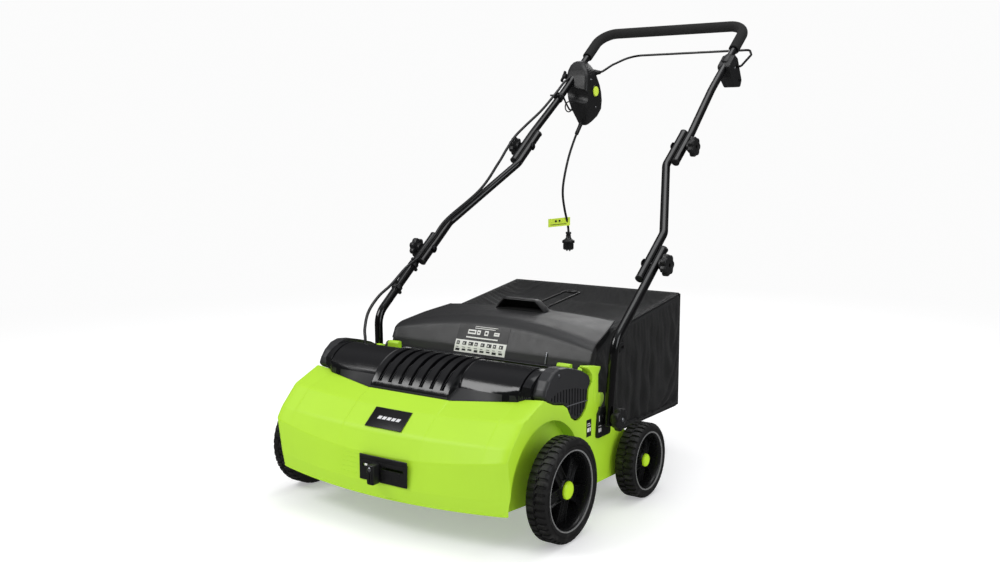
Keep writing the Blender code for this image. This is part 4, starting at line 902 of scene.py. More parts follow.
# end covers
PROF = [(-0.0115, 0.2702), (-0.0037, 0.2625), (0.0212, 0.2520), (0.0563, 0.2445), (0.0704, 0.2364),
        (0.0853, 0.2135), (0.0992, 0.2050), (0.1120, 0.2035), (0.1267, 0.2075), (0.1416, 0.2193),
        (0.1495, 0.2352), (0.1515, 0.2562), (0.1596, 0.2643), (0.1636, 0.2722), (0.1560, 0.2860),
        (0.1290, 0.2990), (0.0980, 0.3080), (0.0700, 0.3145), (0.0450, 0.3170), (0.0250, 0.3120),
        (0.0070, 0.2990), (-0.0050, 0.2840)]
PROF_HI = fillet(PROF, 0.008, 3)
for sx in (-1, 1):
    rings = []
    for xx, d in ((0.2604, 0.0), (0.2700, 0.0), (0.2790, 0.0), (0.2815, -0.0002), (0.2836, -0.0007), (0.2852, -0.0014), (0.2864, -0.0024), (0.2872, -0.0036), (0.2876, -0.0050)):
        rings.append([(sx * xx, y, z) for y, z in (PROF_HI if d == 0 else grown(PROF_HI, d))])
    ec = loft("ec", rings, "cover_side", 30)
    vents = []
    for k in range(13):
        yy = 0.0145 + k * 0.0107
        zb = interp(yy, [(0.0, (0.2600,)), (0.012, (0.2600,)), (0.021, (0.2565,)), (0.056, (0.2500,)), (0.070, (0.2440,)),
                         (0.085, (0.2200,)), (0.112, (0.2090,)), (0.142, (0.2250,)), (0.150, (0.2410,))])[0]
        zt = interp(yy, [(0.0, (0.2655,)), (0.014, (0.2660,)), (0.035, (0.2715,)), (0.0585, (0.2735,)), (0.096, (0.2700,)), (0.145, (0.2585,)), (0.16, (0.25,))])[0]
        lo, hi = sorted((sx * 0.2740, sx * 0.30))
        vents.append(box("vent", (lo, yy - 0.0021, zb), (hi, yy + 0.0021, zt), bevel=0.0010, segments=2))
    boolean(ec, together(vents))
    put(ec, side("end_cover_shell", sx), "chassis", "cover_plastic", side("end_cover", sx), deg=32, weighted=True)
    # thin rib across the slots, coloured light grey as a painted highlight
    o = rod("rib", [(sx * 0.2870, 0.0700, 0.2384), (sx * 0.2874, 0.100, 0.2376), (sx * 0.2870, 0.1490, 0.2352)], 0.0010, "cover_rib", 3)
    put(o, side("end_cover_rib", sx), "chassis", "cover_plastic")
    put(cross_screw("s", (sx * 0.2872, 0.0400, 0.3040), (sx, 0, 0), 0.0030), side("end_cover_screw", sx), "chassis", "zinc_steel")
# side decals, plain shapes only
o = box("d", (0.2879, 0.1450, 0.1600), (0.2884, 0.1640, 0.1950), "label_dark", bevel=0.0002)
put(o, "side_label_dark", "chassis", "black_plastic")
for k, (ya, yb, za, zb) in enumerate(((0.1480, 0.1560, 0.1700, 0.1780), (0.1480, 0.1610, 0.1820, 0.1835), (0.1480, 0.1590, 0.1860, 0.1875), (0.1580, 0.1615, 0.1700, 0.1780))):
    o = box("d", (0.2882, ya, za), (0.2886, yb, zb), "label_white", bevel=0.0001)
    put(o, f"side_label_mark_{k + 1}", "chassis", "black_plastic")
for k, (ya, yb, za, zb) in enumerate(((0.1860, 0.1900, 0.1620, 0.1700), (0.1930, 0.1960, 0.1620, 0.1700), (0.1860, 0.1960, 0.1740, 0.1752), (0.1870, 0.1900, 0.1840, 0.1960))):
    o = box("d", (0.2929, ya, za), (0.2933, yb, zb), "label_white", bevel=0.0001)
    put(o, f"ear_label_mark_{k + 1}", "chassis", "black_plastic")

# ------------------------------------------------------------------ inner parts
m = lathe("m", [(0.0068, -MOTOR_HALF), (0.0068, MOTOR_HALF), (0.018, MOTOR_HALF), (0.020, MOTOR_HALF - 0.001), (0.024, MOTOR_HALF - 0.006),
                (MOTOR_R - 0.002, MOTOR_HALF - 0.009), (MOTOR_R, MOTOR_HALF - 0.012)]
          + [q for i in range(9) for q in ((MOTOR_R, 0.050 - i * 0.012), (MOTOR_R - 0.0022, 0.049 - i * 0.012), (MOTOR_R - 0.0022, 0.043 - i * 0.012), (MOTOR_R, 0.042 - i * 0.012))]
          + [(MOTOR_R, -MOTOR_HALF + 0.012), (MOTOR_R - 0.002, -MOTOR_HALF + 0.009), (0.024, -MOTOR_HALF + 0.006), (0.020, -MOTOR_HALF + 0.001), (0.018, -MOTOR_HALF)],
          MOTOR_Y, MOTOR_Z, "motor_steel", 64)
put(m, "motor_can", "chassis", "motor_steel", "motor")
for k in range(4):
    a = math.radians(45 + 90 * k)
    put(cross_screw("s", (MOTOR_HALF - 0.003, MOTOR_Y + 0.022 * math.cos(a), MOTOR_Z + 0.022 * math.sin(a)), (1, 0, 0), 0.0026),
        f"motor_screw_{k + 1}", "chassis", "zinc_steel")
BELT_X0, bw = BELT_X, BELT_W / 2 + 0.0012


def toothed(name, r, bore_profile, at, teeth, mat):
    ob = lathe(name, bore_profile, *at, mat, 96)
    apply(ob)
    gaps = []
    for k in range(teeth):
        a = 2 * math.pi * k / teeth
        g = cylinder("gap", 0.0009, BELT_X - bw + 0.0004, BELT_X + bw - 0.0004, at[0] + (r + 0.0002) * math.cos(a), at[1] + (r + 0.0002) * math.sin(a), verts=8)
        gaps.append(g)
    boolean(ob, together(gaps))
    return ob


p = toothed("mp", PULLEY_SMALL, [(0.0, BELT_X - 0.0070), (PULLEY_SMALL + 0.0034, BELT_X - 0.0070), (PULLEY_SMALL + 0.004, BELT_X - 0.0064),
                   (PULLEY_SMALL + 0.004, BELT_X - bw), (PULLEY_SMALL, BELT_X - bw), (PULLEY_SMALL, BELT_X + bw), (PULLEY_SMALL + 0.004, BELT_X + bw),
                   (PULLEY_SMALL + 0.004, BELT_X + 0.0069), (PULLEY_SMALL + 0.0034, BELT_X + 0.0075), (0.0060, BELT_X + 0.0075),
                   (0.0060, MOTOR_HALF + 0.005), (0.005, MOTOR_HALF + 0.006), (0.0, MOTOR_HALF + 0.006)], (MOTOR_Y, MOTOR_Z), 14, "zinc_steel")
put(p, "motor_shaft_pulley", "motor_rotor", "zinc_steel", "motor_pulley")
p = toothed("rp", PULLEY_LARGE, [(0.0083, BELT_X - 0.0070), (PULLEY_LARGE + 0.0034, BELT_X - 0.0070), (PULLEY_LARGE + 0.004, BELT_X - 0.0064), (PULLEY_LARGE + 0.004, BELT_X - bw),
                   (PULLEY_LARGE, BELT_X - bw), (PULLEY_LARGE, BELT_X + bw), (PULLEY_LARGE + 0.004, BELT_X + bw), (PULLEY_LARGE + 0.004, BELT_X + 0.0064),
                   (PULLEY_LARGE + 0.0034, BELT_X + 0.0070), (0.020, BELT_X + 0.0070), (0.018, BELT_X + 0.0040), (0.012, BELT_X + 0.0040), (0.011, BELT_X + 0.0070), (0.0083, BELT_X + 0.0070)],
            (REEL_Y, REEL_Z), 38, "black_plastic")
put(p, "reel_drive_pulley", "tine_reel", "black_plastic", "reel_pulley")
b = prism("belt", belt_loop(PULLEY_SMALL + 0.0012 + BELT_T, PULLEY_LARGE + 0.0012 + BELT_T, 28), BELT_X - BELT_W / 2, BELT_X + BELT_W / 2, "belt_rubber")
boolean(b, prism("bi", belt_loop(PULLEY_SMALL + 0.0012, PULLEY_LARGE + 0.0012, 28), BELT_X - 0.01, BELT_X + 0.01))
put(b, "toothed_belt", "chassis", "belt_rubber", "drive_belt", bevel=0.0003, seg=1)
bl = belt_loop(PULLEY_SMALL + 0.0009 + BELT_T, PULLEY_LARGE + 0.0009 + BELT_T, 28)
L2 = [(Vector(bl[i]), Vector(bl[(i + 1) % len(bl)])) for i in range(len(bl))]

SHAFT_END = 0.2825
reel = lathe("reel", [(0.0, -SHAFT_END), (0.0070, -SHAFT_END), (0.0080, -SHAFT_END + 0.001), (0.0080, -0.2380), (0.0160, -0.2372), (0.0170, -0.2360),
                      (0.0170, 0.2490), (0.0160, 0.2505), (0.0080, 0.2520), (0.0080, SHAFT_END - 0.001), (0.0070, SHAFT_END), (0.0, SHAFT_END)],
             REEL_Y, REEL_Z, "reel_paint", 48)
put(reel, "reel_shaft", "tine_reel", "reel_paint", "tine_reel")
for i in range(20):
    xc = -0.228 + i * (0.470 / 19)
    t = math.radians(90.0 * (i % 4) + 20)
    c, s = math.cos(t), math.sin(t)
    pts = []
    for rr, back, off in ((0.0120, 0.0, 0.0), (0.0200, 0.0, 0.0), (0.0240, 0.0040, 0.0016), (0.0280, 0.0, 0.0032), (0.0240, -0.0040, 0.0016), (0.0220, 0.0, 0.0), (0.0300, 0.003, 0.0),
                          (0.0500, 0.0040, 0.0), (0.0680, -0.0030, 0.0), (0.0795, -0.0100, 0.0)):
        pts.append((xc + off, REEL_Y + rr * c - back * s, REEL_Z + rr * s + back * c))
    put(rod("tine", catmull(pts, 4), 0.0019, "zinc_steel", 2), f"reel_tine_{i + 1:02d}", "tine_reel", "zinc_steel")
    cl = lathe("collar", [(0.0171, xc - 0.0045), (0.0215, xc - 0.0035), (0.0215, xc + 0.0035), (0.0171, xc + 0.0045)], REEL_Y, REEL_Z, "reel_paint", 32)
    put(cl, f"reel_collar_{i + 1:02d}", "tine_reel", "reel_paint")
for sx in (-1, 1):
    lo, hi = sorted((sx * 0.2700, sx * 0.2836))
    put(lathe("br", [(0.0083, lo), (0.0083, hi), (0.0105, hi), (0.0110, hi - 0.0008), (0.0145, hi - 0.0008), (0.0150, hi), (0.0164, hi), (0.0170, hi - 0.0006),
                     (0.0170, lo + 0.0006), (0.0164, lo), (0.0150, lo), (0.0145, lo + 0.0008), (0.0110, lo + 0.0008), (0.0105, lo)], REEL_Y, REEL_Z, "zinc_steel", 48),
        side("reel_bearing_ring", sx), "chassis", "zinc_steel", side("reel_bearing", sx))

ax = rod("ax", rounded([(-0.3295, 0, FRONT_R), (-0.2810, 0, FRONT_R), (-0.2810, 0.055, 0.132), (0.2810, 0.055, 0.132), (0.2810, 0, FRONT_R), (0.3295, 0, FRONT_R)], 0.008, 8),
         SPINDLE_R - 0.0002, "zinc_steel", 6)
put(ax, "front_axle_rod", "front_axle", "zinc_steel", "front_axle")
put(lathe("ra", [(0.0, -0.3300), (0.0048, -0.3300), (0.0060, -0.3290), (0.0060, 0.3290), (0.0048, 0.3300), (0.0, 0.3300)], REAR_Y, REAR_R, "zinc_steel", 32),
    "rear_axle_rod", "chassis", "zinc_steel", "rear_axle")
put(lathe("fp", [(0.0, -0.2682), (0.0022, -0.2682), (0.0030, -0.2674), (0.0030, 0.2674), (0.0022, 0.2682), (0.0, 0.2682)], 0.197, 0.280, "black_zinc", 24),
    "flap_hinge_pin", "chassis", "zinc_steel", "flap_pin")


# ------------------------------------------------------------------ wheels
def tyre_mesh(name, w, y, sx):
    """Moulded tyre with two staggered rows of lugs."""
    x0, x1 = WHEEL_X0, WHEEL_X1
    lugs = 44 if w > 0.09 else 36
    dep = 0.0032
    rim_r, lip = w * 0.800, w * 0.755
    # (radius, x, groove share, phase)
    rows = [(rim_r + 0.0003, x0 + 0.004, 0, 0), (rim_r + 0.0003, x1 - 0.003, 0, 0), (lip + 0.0023, x1 - 0.0025, 0, 0), (lip + 0.0040, x1 - 0.0010, 0, 0),
            (w * 0.845, x1 - 0.0006, 0, 0), (w * 0.850, x1 - 0.0014, 0, 0), (w * 0.866, x1 - 0.0014, 0, 0), (w * 0.871, x1 - 0.0004, 0, 0),
            (w * 0.925, x1 - 0.0010, 0, 0), (w * 0.950, x1 - 0.0020, 0.0, 0), (w * 0.962, x1 - 0.0030, 0.7, 0), (w * 0.990, x1 - 0.0052, 1, 0), (w, x1 - 0.0080, 1, 0),
            (w, x1 - 0.0195, 1, 0), (w * 0.985, x1 - 0.0200, 1, 0.0), (w * 0.985, x1 - 0.0235, 1, 0.5), (w, x1 - 0.0240, 1, 0.5),
            (w, x0 + 0.0080, 1, 0.5), (w * 0.990, x0 + 0.0052, 1, 0.5), (w * 0.955, x0 + 0.0020, 0, 0.5), (w * 0.86, x0, 0, 0.5), (rim_r + 0.003, x0 + 0.002, 0, 0)]
    cols = []
    for k in range(lugs):
        for f, h in ((0.0, 1), (0.30, 1), (0.56, 1), (0.62, 0), (0.94, 0)):
            cols.append(((k + f) / lugs, h))
    verts, faces = [], []
    for r, x, g, ph in rows:
        for f, h in cols:
            a = 2 * math.pi * (f + ph / lugs)
            rr = r - (0 if h else dep * g)
            verts.append((sx * x, y + rr * math.cos(a), w + rr * math.sin(a)))
    n = len(cols)
    m = len(rows)
    for i in range(m):
        for j in range(n):
            a, b = i * n + j, i * n + (j + 1) % n
            c, d = ((i + 1) % m) * n + (j + 1) % n, ((i + 1) % m) * n + j
            faces.append((a, b, c, d))
    mesh = bpy.data.meshes.new(name)
    mesh.from_pydata(verts, [], faces)
    bm = bmesh.new()
    bm.from_mesh(mesh)
    bmesh.ops.recalc_face_normals(bm, faces=bm.faces)
    bm.to_mesh(mesh)
    bm.free()
    return new_object(name, mesh, "tyre_plastic")


def wheel(tag, sx, w, y):
    bodyname = side(f"{tag}_wheel", sx)
    x0, x1 = WHEEL_X0, WHEEL_X1
    rim_r, lip = w * 0.800, w * 0.755
    bore = SPINDLE_R + 0.0003
    T = side(f"{tag}_tyre", sx)
    put(tyre_mesh("t", w, y, sx), T + "_lugged", bodyname, "tyre_plastic", T, deg=34)
    rim = lathe("rim", [(rim_r, x0 + 0.004), (rim_r, x1 - 0.0036), (lip + 0.0016, x1 - 0.0030), (lip - 0.0012, x1 - 0.0034), (lip - 0.0030, x1 - 0.0050), (lip - 0.0046, x1 - 0.0090),
                        (lip - 0.0058, x1 - 0.0200), (lip - 0.0062, x0 + 0.004)], y, w, "rim_plastic", 112)
    # painted highlight: a light grey ring on the rim's outer lip stands for the bright edge
    ring = lathe("ring", [(lip - 0.0008, x1 - 0.0042), (lip - 0.0004, x1 - 0.0018), (lip + 0.0012, x1 - 0.0010), (lip + 0.0022, x1 - 0.0018), (lip + 0.0018, x1 - 0.0042)],
                 y, w, "rim_lip", 112)
    hub = lathe("hub", [(bore, x0 + 0.002), (bore, x1 - 0.0130), (w * 0.185, x1 - 0.0130), (w * 0.200, x1 - 0.0140), (w * 0.215, x1 - 0.0190), (w * 0.26, x0 + 0.010), (w * 0.20, x0 + 0.002)],
                y, w, "rim_plastic", 56)
    for ob in (rim, ring, hub):
        apply(ob)
        if sx < 0:
            mirror_x(ob)
    R = side(f"{tag}_rim", sx)
    put(rim, R + "_ring", bodyname, "rim_plastic", R, deg=40)
    put(ring, R + "_lip", bodyname, "rim_plastic", deg=50)
    put(hub, R + "_hub", bodyname, "rim_plastic", deg=40)
    for k in range(5):
        a = math.radians(-96 + 72 * k)
        c, s = math.cos(a), math.sin(a)
        rings = []
        for f in (0.0, 0.25, 0.5, 0.75, 1.0):
            rr = w * 0.17 + (lip - 0.0052 - w * 0.17) * f
            tt = w * (0.118 + 0.070 * f + 0.03 * (2 * f - 1) ** 2)
            front = x1 - 0.0150 - 0.0080 * f
            back = x0 + 0.012
            ring2 = []
            for xx, tw in ((back, 1.0), (front + 0.0006, 0.96), (front + 0.0006, 0.82), (front - 0.0034, 0.74), (front - 0.0034, 0.10), (front - 0.0010, 0.06),
                           (front - 0.0010, -0.06), (front - 0.0034, -0.10), (front - 0.0034, -0.74), (front + 0.0006, -0.82), (front + 0.0006, -0.96), (back, -1.0)):
                ring2.append((sx * xx, y + rr * c - tt * tw * s, w + rr * s + tt * tw * c))
            rings.append(ring2)
        put(loft("spoke", rings, "rim_plastic", 35), f"{R}_spoke_{k + 1}", bodyname, "rim_plastic", bevel=0.0006, seg=2, angle=25)
    web = lathe("web", [(w * 0.235, x0 + 0.0060), (lip - 0.0063, x0 + 0.0060), (lip - 0.0063, x0 + 0.0085), (w * 0.60, x0 + 0.0085), (w * 0.58, x0 + 0.0100), (w * 0.40, x0 + 0.0100), (w * 0.38, x0 + 0.0085), (w * 0.235, x0 + 0.0085)],
                y, w, "rim_plastic", 80)
    apply(web)
    if sx < 0:
        mirror_x(web)
    put(web, R + "_web", bodyname, "rim_plastic", deg=40)
    cap = lathe("cap", [(0.0, x1 - 0.0127), (w * 0.165, x1 - 0.0127), (w * 0.172, x1 - 0.0120), (w * 0.172, x1 - 0.0098), (w * 0.166, x1 - 0.0084), (w * 0.150, x1 - 0.0072), (w * 0.142, x1 - 0.0072),
                        (w * 0.136, x1 - 0.0064), (w * 0.10, x1 - 0.0056), (w * 0.05, x1 - 0.0052), (0.0, x1 - 0.0051)], y, w, "cap_green", 64)
    apply(cap)
    if sx < 0:
        mirror_x(cap)
    C_ = side(f"{tag}_hub_cap", sx)
    put(cap, C_ + "_dome", bodyname, "green_plastic", C_, deg=35)


for sx in (-1, 1):
    wheel("front", sx, FRONT_R, 0.0)
    wheel("rear", sx, REAR_R, REAR_Y)

# ------------------------------------------------------------------ rear flap
FLAP_ROWS = [(0.1990, 0.2720, 0.2600, 0.000, 0.000), (0.2070, 0.3000, 0.2600, 0.001, 0.001),
             (0.2340, 0.3545, 0.2600, 0.016, 0.031), (0.2460, 0.3610, 0.2585, 0.018, 0.032),
             (0.3100, 0.3665, 0.2430, 0.006, 0.022), (0.3780, 0.3665, 0.2220, 0.000, 0.010)]


def flap_fine():
    """Rows of the flap with a soft crease, as (y, z, half width, fall y, fall z)."""
    F = FLAP_ROWS
    def mix(a, b, f):
        return tuple(p + (q - p) * f for p, q in zip(a, b))
    rows = [F[0], mix(F[0], F[1], 0.5), mix(F[0], F[1], 0.85)]
    def arc(a, b, c, ra, rb, n=5):
        s, e = mix(b, a, ra), mix(b, c, rb)
        out = []
        for k in range(n + 1):
            f = k / n
            out.append(tuple(s[i] * (1 - f) ** 2 + b[i] * 2 * f * (1 - f) + e[i] * f * f for i in range(5)))
        return out
    rows += arc(F[0], F[1], F[2], 0.1, 0.15)
    rows += [mix(F[1], F[2], f) for f in (0.35, 0.55, 0.72)]
    mid = mix(F[2], F[3], 0.5)
    rows += arc(mix(F[1], F[2], 0.80), mid, mix(F[3], F[4], 0.12), 0.95, 0.95, 6)
    rows += [mix(F[3], F[4], f) for f in (0.3, 0.5, 0.7)]
    rows += arc(mix(F[3], F[4], 0.7), F[4], F[5], 0.5, 0.3)
    rows += [mix(F[4], F[5], f) for f in (0.5, 0.7, 0.88, 0.97)] + [F[5]]
    return rows


def flap_at(row, u):
    y, z, w, fy, fz = row
    return (w * u, y - fy * u * u, z - fz * u * u)


FR = flap_fine()
US = [math.sin(math.pi / 2 * v) for v in np.linspace(-1, 1, 49)]
grid = [[Vector(flap_at(r, u)) for u in US] for r in FR]
nrows, ncols = len(grid), len(US)


def gnorm(g, i, j):
    a = g[min(i + 1, len(g) - 1)][j] - g[max(i - 1, 0)][j]
    b = g[i][min(j + 1, len(g[0]) - 1)] - g[i][max(j - 1, 0)]
    n = b.cross(a)
    return n.normalized()


bm = bmesh.new()
T = 0.0026
up = [[bm.verts.new(grid[i][j]) for j in range(ncols)] for i in range(nrows)]
dn = [[bm.verts.new(grid[i][j] - gnorm(grid, i, j) * T) for j in range(ncols)] for i in range(nrows)]
for i in range(nrows - 1):
    for j in range(ncols - 1):
        bm.faces.new((up[i][j], up[i][j + 1], up[i + 1][j + 1], up[i + 1][j]))
        bm.faces.new((dn[i][j], dn[i + 1][j], dn[i + 1][j + 1], dn[i][j + 1]))
for i in range(nrows - 1):
    bm.faces.new((up[i][0], up[i + 1][0], dn[i + 1][0], dn[i][0]))
    bm.faces.new((up[i][-1], dn[i][-1], dn[i + 1][-1], up[i + 1][-1]))
for j in range(ncols - 1):
    bm.faces.new((up[0][j], dn[0][j], dn[0][j + 1], up[0][j + 1]))
    bm.faces.new((up[-1][j], up[-1][j + 1], dn[-1][j + 1], dn[-1][j]))
bmesh.ops.recalc_face_normals(bm, faces=bm.faces)
mesh = bpy.data.meshes.new("flap")
bm.to_mesh(mesh)
bm.free()
flap = new_object("flap", mesh, "flap_plastic")
# the hinge ears of the deck pass through two notches
boolean(flap, together([box("notch", (sx * 0.2482 - 0.0058, 0.1800, 0.2600), (sx * 0.2482 + 0.0058, 0.2105, 0.2920)) for sx in (-1, 1)]))
put(flap, "rear_flap_panel", "rear_flap", "black_plastic", "rear_flap", bevel=0.0008, seg=2, angle=60, deg=40)
# raised rim along the flap's edge
for nm, js, rr in (("left", 0, None), ("right", -1, None)):
    pts = [grid[i][js] + gnorm(grid, i, js if js >= 0 else ncols - 1) * 0.0002 for i in range(3, nrows)]
    put(rod("r", pts, 0.0017, "flap_plastic", 3), "rear_flap_rim_" + nm, "rear_flap", "black_plastic")
put(rod("r", [g + Vector((0, 0, -0.0010)) for g in grid[-1]], 0.0019, "flap_plastic", 3), "rear_flap_rim_back", "rear_flap", "black_plastic")
SK = [(0.1992, 0.2722), (0.2072, 0.3000), (0.2180, 0.3210), (0.2320, 0.3270), (0.2340, 0.3060), (0.2200, 0.2820), (0.2040, 0.2660)]
for sx in (-1, 1):
    o = prism("sk", fillet(SK, 0.004, 3), *sorted((sx * 0.2545, sx * 0.2598)))
    o.data.materials.clear(); o.data.materials.append(M["flap_plastic"])
    put(o, side("rear_flap_skirt", sx), "rear_flap", "black_plastic", bevel=0.0010)
    lo, hi = sorted((sx * 0.2540, sx * 0.2680))
    o = lathe("eye", [(0.0033, lo), (0.0095, lo), (0.0105, lo + 0.001), (0.0105, hi - 0.001), (0.0095, hi), (0.0060, hi), (0.0055, hi - 0.001), (0.0033, hi - 0.001)], 0.197, 0.280, "flap_plastic", 48)
    put(o, side("rear_flap_eye", sx), "rear_flap", "black_plastic")
def on_flap(fi, u, lift):
    """Point on the flap's face: fi = row position (may be fractional), u across, lift above."""
    i = int(math.floor(fi)); f = fi - i
    i2 = min(i + 1, nrows - 1)
    a, b = Vector(flap_at(FR[i], u)), Vector(flap_at(FR[i2], u))
    p = a + (b - a) * f
    e = 0.01
    q = (Vector(flap_at(FR[i], u + e)) * (1 - f) + Vector(flap_at(FR[i2], u + e)) * f) - p
    n = q.cross(b - a).normalized()
    return p + n * lift


def flap_row_for(yv, u):
    """Row position whose face passes through y at u."""
    for i in range(nrows - 1):
        ya, yb = flap_at(FR[i], u)[1], flap_at(FR[i + 1], u)[1]
        if ya <= yv <= yb:
            return i + (yv - ya) / max(yb - ya, 1e-9)
    return nrows - 1.01


# finger scoop; the dark of its mouth is painted shade, near-black sheets under its hood and on the recess floor
def scoop_row(k, x, drop=0.0):
    """Point k of the scoop's hood at x, drop below its face."""
    u = abs(x) / 0.066
    e = max(0.0, (u - 0.62) / 0.38)
    d = 0.0200 * e ** 1.2 - 0.0055 * (1 - e)
    y, z = [(0.3370 + 0.006 * u ** 3, 0.3846 - d), (0.3390 + 0.006 * u ** 3, 0.3852 - d), (0.3440, 0.3853 - d), (0.3520, 0.3852 - d), (0.3600, 0.3832 - d * 0.98), (0.3660, 0.3802 - d * 0.92),
            (0.3710, 0.3762 - d * 0.75), (0.3745, 0.3710 - d * 0.4), (0.3765, 0.3645)][k]
    return (float(x), y - drop * 0.6, max(z - drop, 0.3640))


xs_sc = np.linspace(-0.066, 0.066, 45)
put(patch("sc", [[scoop_row(k, x) for x in xs_sc] for k in range(9)], "flap_plastic", 0.0016), "rear_flap_scoop", "rear_flap", "black_plastic", deg=35)
# painted shade: a near-black sheet just under the scoop's hood stands for the shade in its mouth
put(patch("sl", [[scoop_row(k, x, 0.0019) for x in np.linspace(-0.0600, 0.0600, 41)] for k in range(9)], "inside_dark", 0.0003), "rear_flap_scoop_liner", "rear_flap", "black_plastic", deg=35)
put(rod("lip", [Vector(scoop_row(0, x)) + Vector((0, 0, -0.0006)) for x in xs_sc], 0.0014, "flap_plastic", 3), "rear_flap_scoop_lip", "rear_flap", "black_plastic")
# painted shade: near-black sheet on the floor of the finger recess
rec_rows = []
for yv in np.linspace(0.3330, 0.3685, 5):
    rec_rows.append([on_flap(flap_row_for(float(yv), float(x) / 0.235), float(x) / 0.235, 0.0012) for x in np.linspace(-0.057, 0.057, 16)])
put(patch("rec_floor", rec_rows, "inside_dark", 0.0003), "rear_flap_scoop_floor", "rear_flap", "black_plastic")


def flap_row_z(zv, u):
    """Row position on the front slope whose face passes through height z at u."""
    for i in range(nrows - 1):
        za, zb = flap_at(FR[i], u)[2], flap_at(FR[i + 1], u)[2]
        if za <= zv <= zb:
            return i + (zv - za) / max(zb - za, 1e-9)
    return nrows - 1.01


def flap_label(name, mat, s0, s1, t0, t1, lift, thick=0.0003):
    """Sticker on the sloping front of the flap; s across in metres, t a 0-1 share of the slope."""
    rows = []
    lo_i, hi_i = 8.0, 11.0
    for t in np.linspace(t0, t1, 8):
        row = []
        for x in np.linspace(s0, s1, 14):
            row.append(on_flap(flap_row_z(t, float(x) / 0.26), float(x) / 0.26, lift))
        rows.append(row)
    return put(patch(name, rows, mat, thick), name, "rear_flap", "black_plastic", deg=60)


flap_label("rear_flap_label_light", "label_white", -0.083, 0.052, 0.2850, 0.3110, 0.0003)
flap_label("rear_flap_label_dark", "label_film", -0.083, 0.052, 0.3112, 0.3430, 0.0003)
for k in range(8):
    x0 = -0.0790 + k * 0.0162
    flap_label(f"rear_flap_label_sign_{k + 1}", "label_dark", x0, x0 + 0.0080 + 0.0020 * (k % 3), 0.3005, 0.3078, 0.0006)
    flap_label(f"rear_flap_label_core_{k + 1}", "label_white", x0 + 0.0025, x0 + 0.0052, 0.3030 - 0.0008 * (k % 2), 0.3052, 0.0009)
    flap_label(f"rear_flap_label_note_{k + 1}", "label_dark", x0 + 0.0010 * (k % 2), x0 + 0.0105, 0.2875 + 0.0010 * (k % 3), 0.2925, 0.0006)
    flap_label(f"rear_flap_label_foot_{k + 1}", "label_dark", x0, x0 + 0.0070 + 0.0015 * (k % 2), 0.2950, 0.2962, 0.0006)
for k, (xa, xb, za, zb) in enumerate(((-0.0560, -0.0350, 0.3240, 0.3330), (-0.0320, -0.0230, 0.3240, 0.3330), (-0.0120, -0.0020, 0.3235, 0.3335), (0.0130, 0.0270, 0.3250, 0.3320))):
    flap_label(f"rear_flap_label_plate_{k + 1}", "label_white", xa, xb, za, zb, 0.0006)
    flap_label(f"rear_flap_label_plate_core_{k + 1}", "label_film", xa + 0.0025, xb - 0.0025, za + 0.0030, zb - 0.0030, 0.0009)
flap_label("rear_flap_label_line_1", "label_white", -0.058, 0.026, 0.3160, 0.3185, 0.0006)
flap_label("rear_flap_label_line_2", "label_white", -0.040, 0.014, 0.3362, 0.3375, 0.0006)
flap_label("rear_flap_label_line_3", "label_white", -0.040, 0.020, 0.3398, 0.3408, 0.0006)
# free leg of the hinge spring lying against the flap
leg = [on_flap(flap_row_z(float(z), 0.60), 0.60, 0.0026) for z in (0.2830, 0.2950, 0.3020, 0.3060)]
put(rod("leg", leg, 0.0012, "zinc_steel", 4), "rear_flap_spring_leg", "rear_flap", "black_plastic")

# ------------------------------------------------------------------ collection bag
Y0, Y1, Z0 = 0.2640, 0.6860, 0.1060


def bag_half(y):
    return 0.2340 + 0.006 * (y - Y0) / (Y1 - Y0)


def bag_top(y):
    a = 0.2980 + (y - Y0) / (0.3480 - Y0) * 0.0400
    b = 0.3420 + (y - 0.3480) / (Y1 - 0.3480) * 0.0460
    f = min(1.0, max(0.0, (y - 0.340) / 0.012))
    f = f * f * (3 - 2 * f)
    return a * (1 - f) + b * f


def bag_point(u, v, w, r=0.020):
    """Unit box (u across, v along, w up, each -1..1) to the bag with rounded edges."""
    y = Y0 + (v + 1) / 2 * (Y1 - Y0)
    half, top = bag_half(y), bag_top(y)
    p = Vector((u * half, y, Z0 + (w + 1) / 2 * (top - Z0)))
    q = Vector((max(-half + r, min(half - r, p.x)), min(Y1 - r, p.y), max(Z0 + r, min(top - r, p.z))))
    d = p - q
    return q + d.normalized() * r if d.length > 1e-9 else p


def bag_shell(nx, ny, nz):
    bm = bmesh.new()
    cache = {}

    def vert(i, j, k):
        key = (i, j, k)
        if key not in cache:
            def e(t):      # finer towards the edges
                return math.copysign(1 - (1 - abs(t)) ** 1.15, t)
            cache[key] = bm.verts.new(bag_point(e(2 * i / nx - 1), 2 * j / ny - 1 if j < ny else 1.0, e(2 * k / nz - 1)))
        return cache[key]

    def quad(a, b, c, d):
        bm.faces.new((vert(*a), vert(*b), vert(*c), vert(*d)))
    for i in range(nx):
        for j in range(ny):
            quad((i, j, 0), (i, j + 1, 0), (i + 1, j + 1, 0), (i + 1, j, 0))
            quad((i, j, nz), (i + 1, j, nz), (i + 1, j + 1, nz), (i, j + 1, nz))
    for k in range(nz):
        for j in range(ny):
            quad((0, j, k), (0, j, k + 1), (0, j + 1, k + 1), (0, j + 1, k))
            quad((nx, j, k), (nx, j + 1, k), (nx, j + 1, k + 1), (nx, j, k + 1))
    for i in range(nx):
        for k in range(nz):
            quad((i, ny, k), (i, ny, k + 1), (i + 1, ny, k + 1), (i + 1, ny, k))
    mesh = bpy.data.meshes.new("bag")
    bmesh.ops.recalc_face_normals(bm, faces=bm.faces)
    bm.to_mesh(mesh)
    bm.free()
    return new_object("bag", mesh, "bag_fabric")


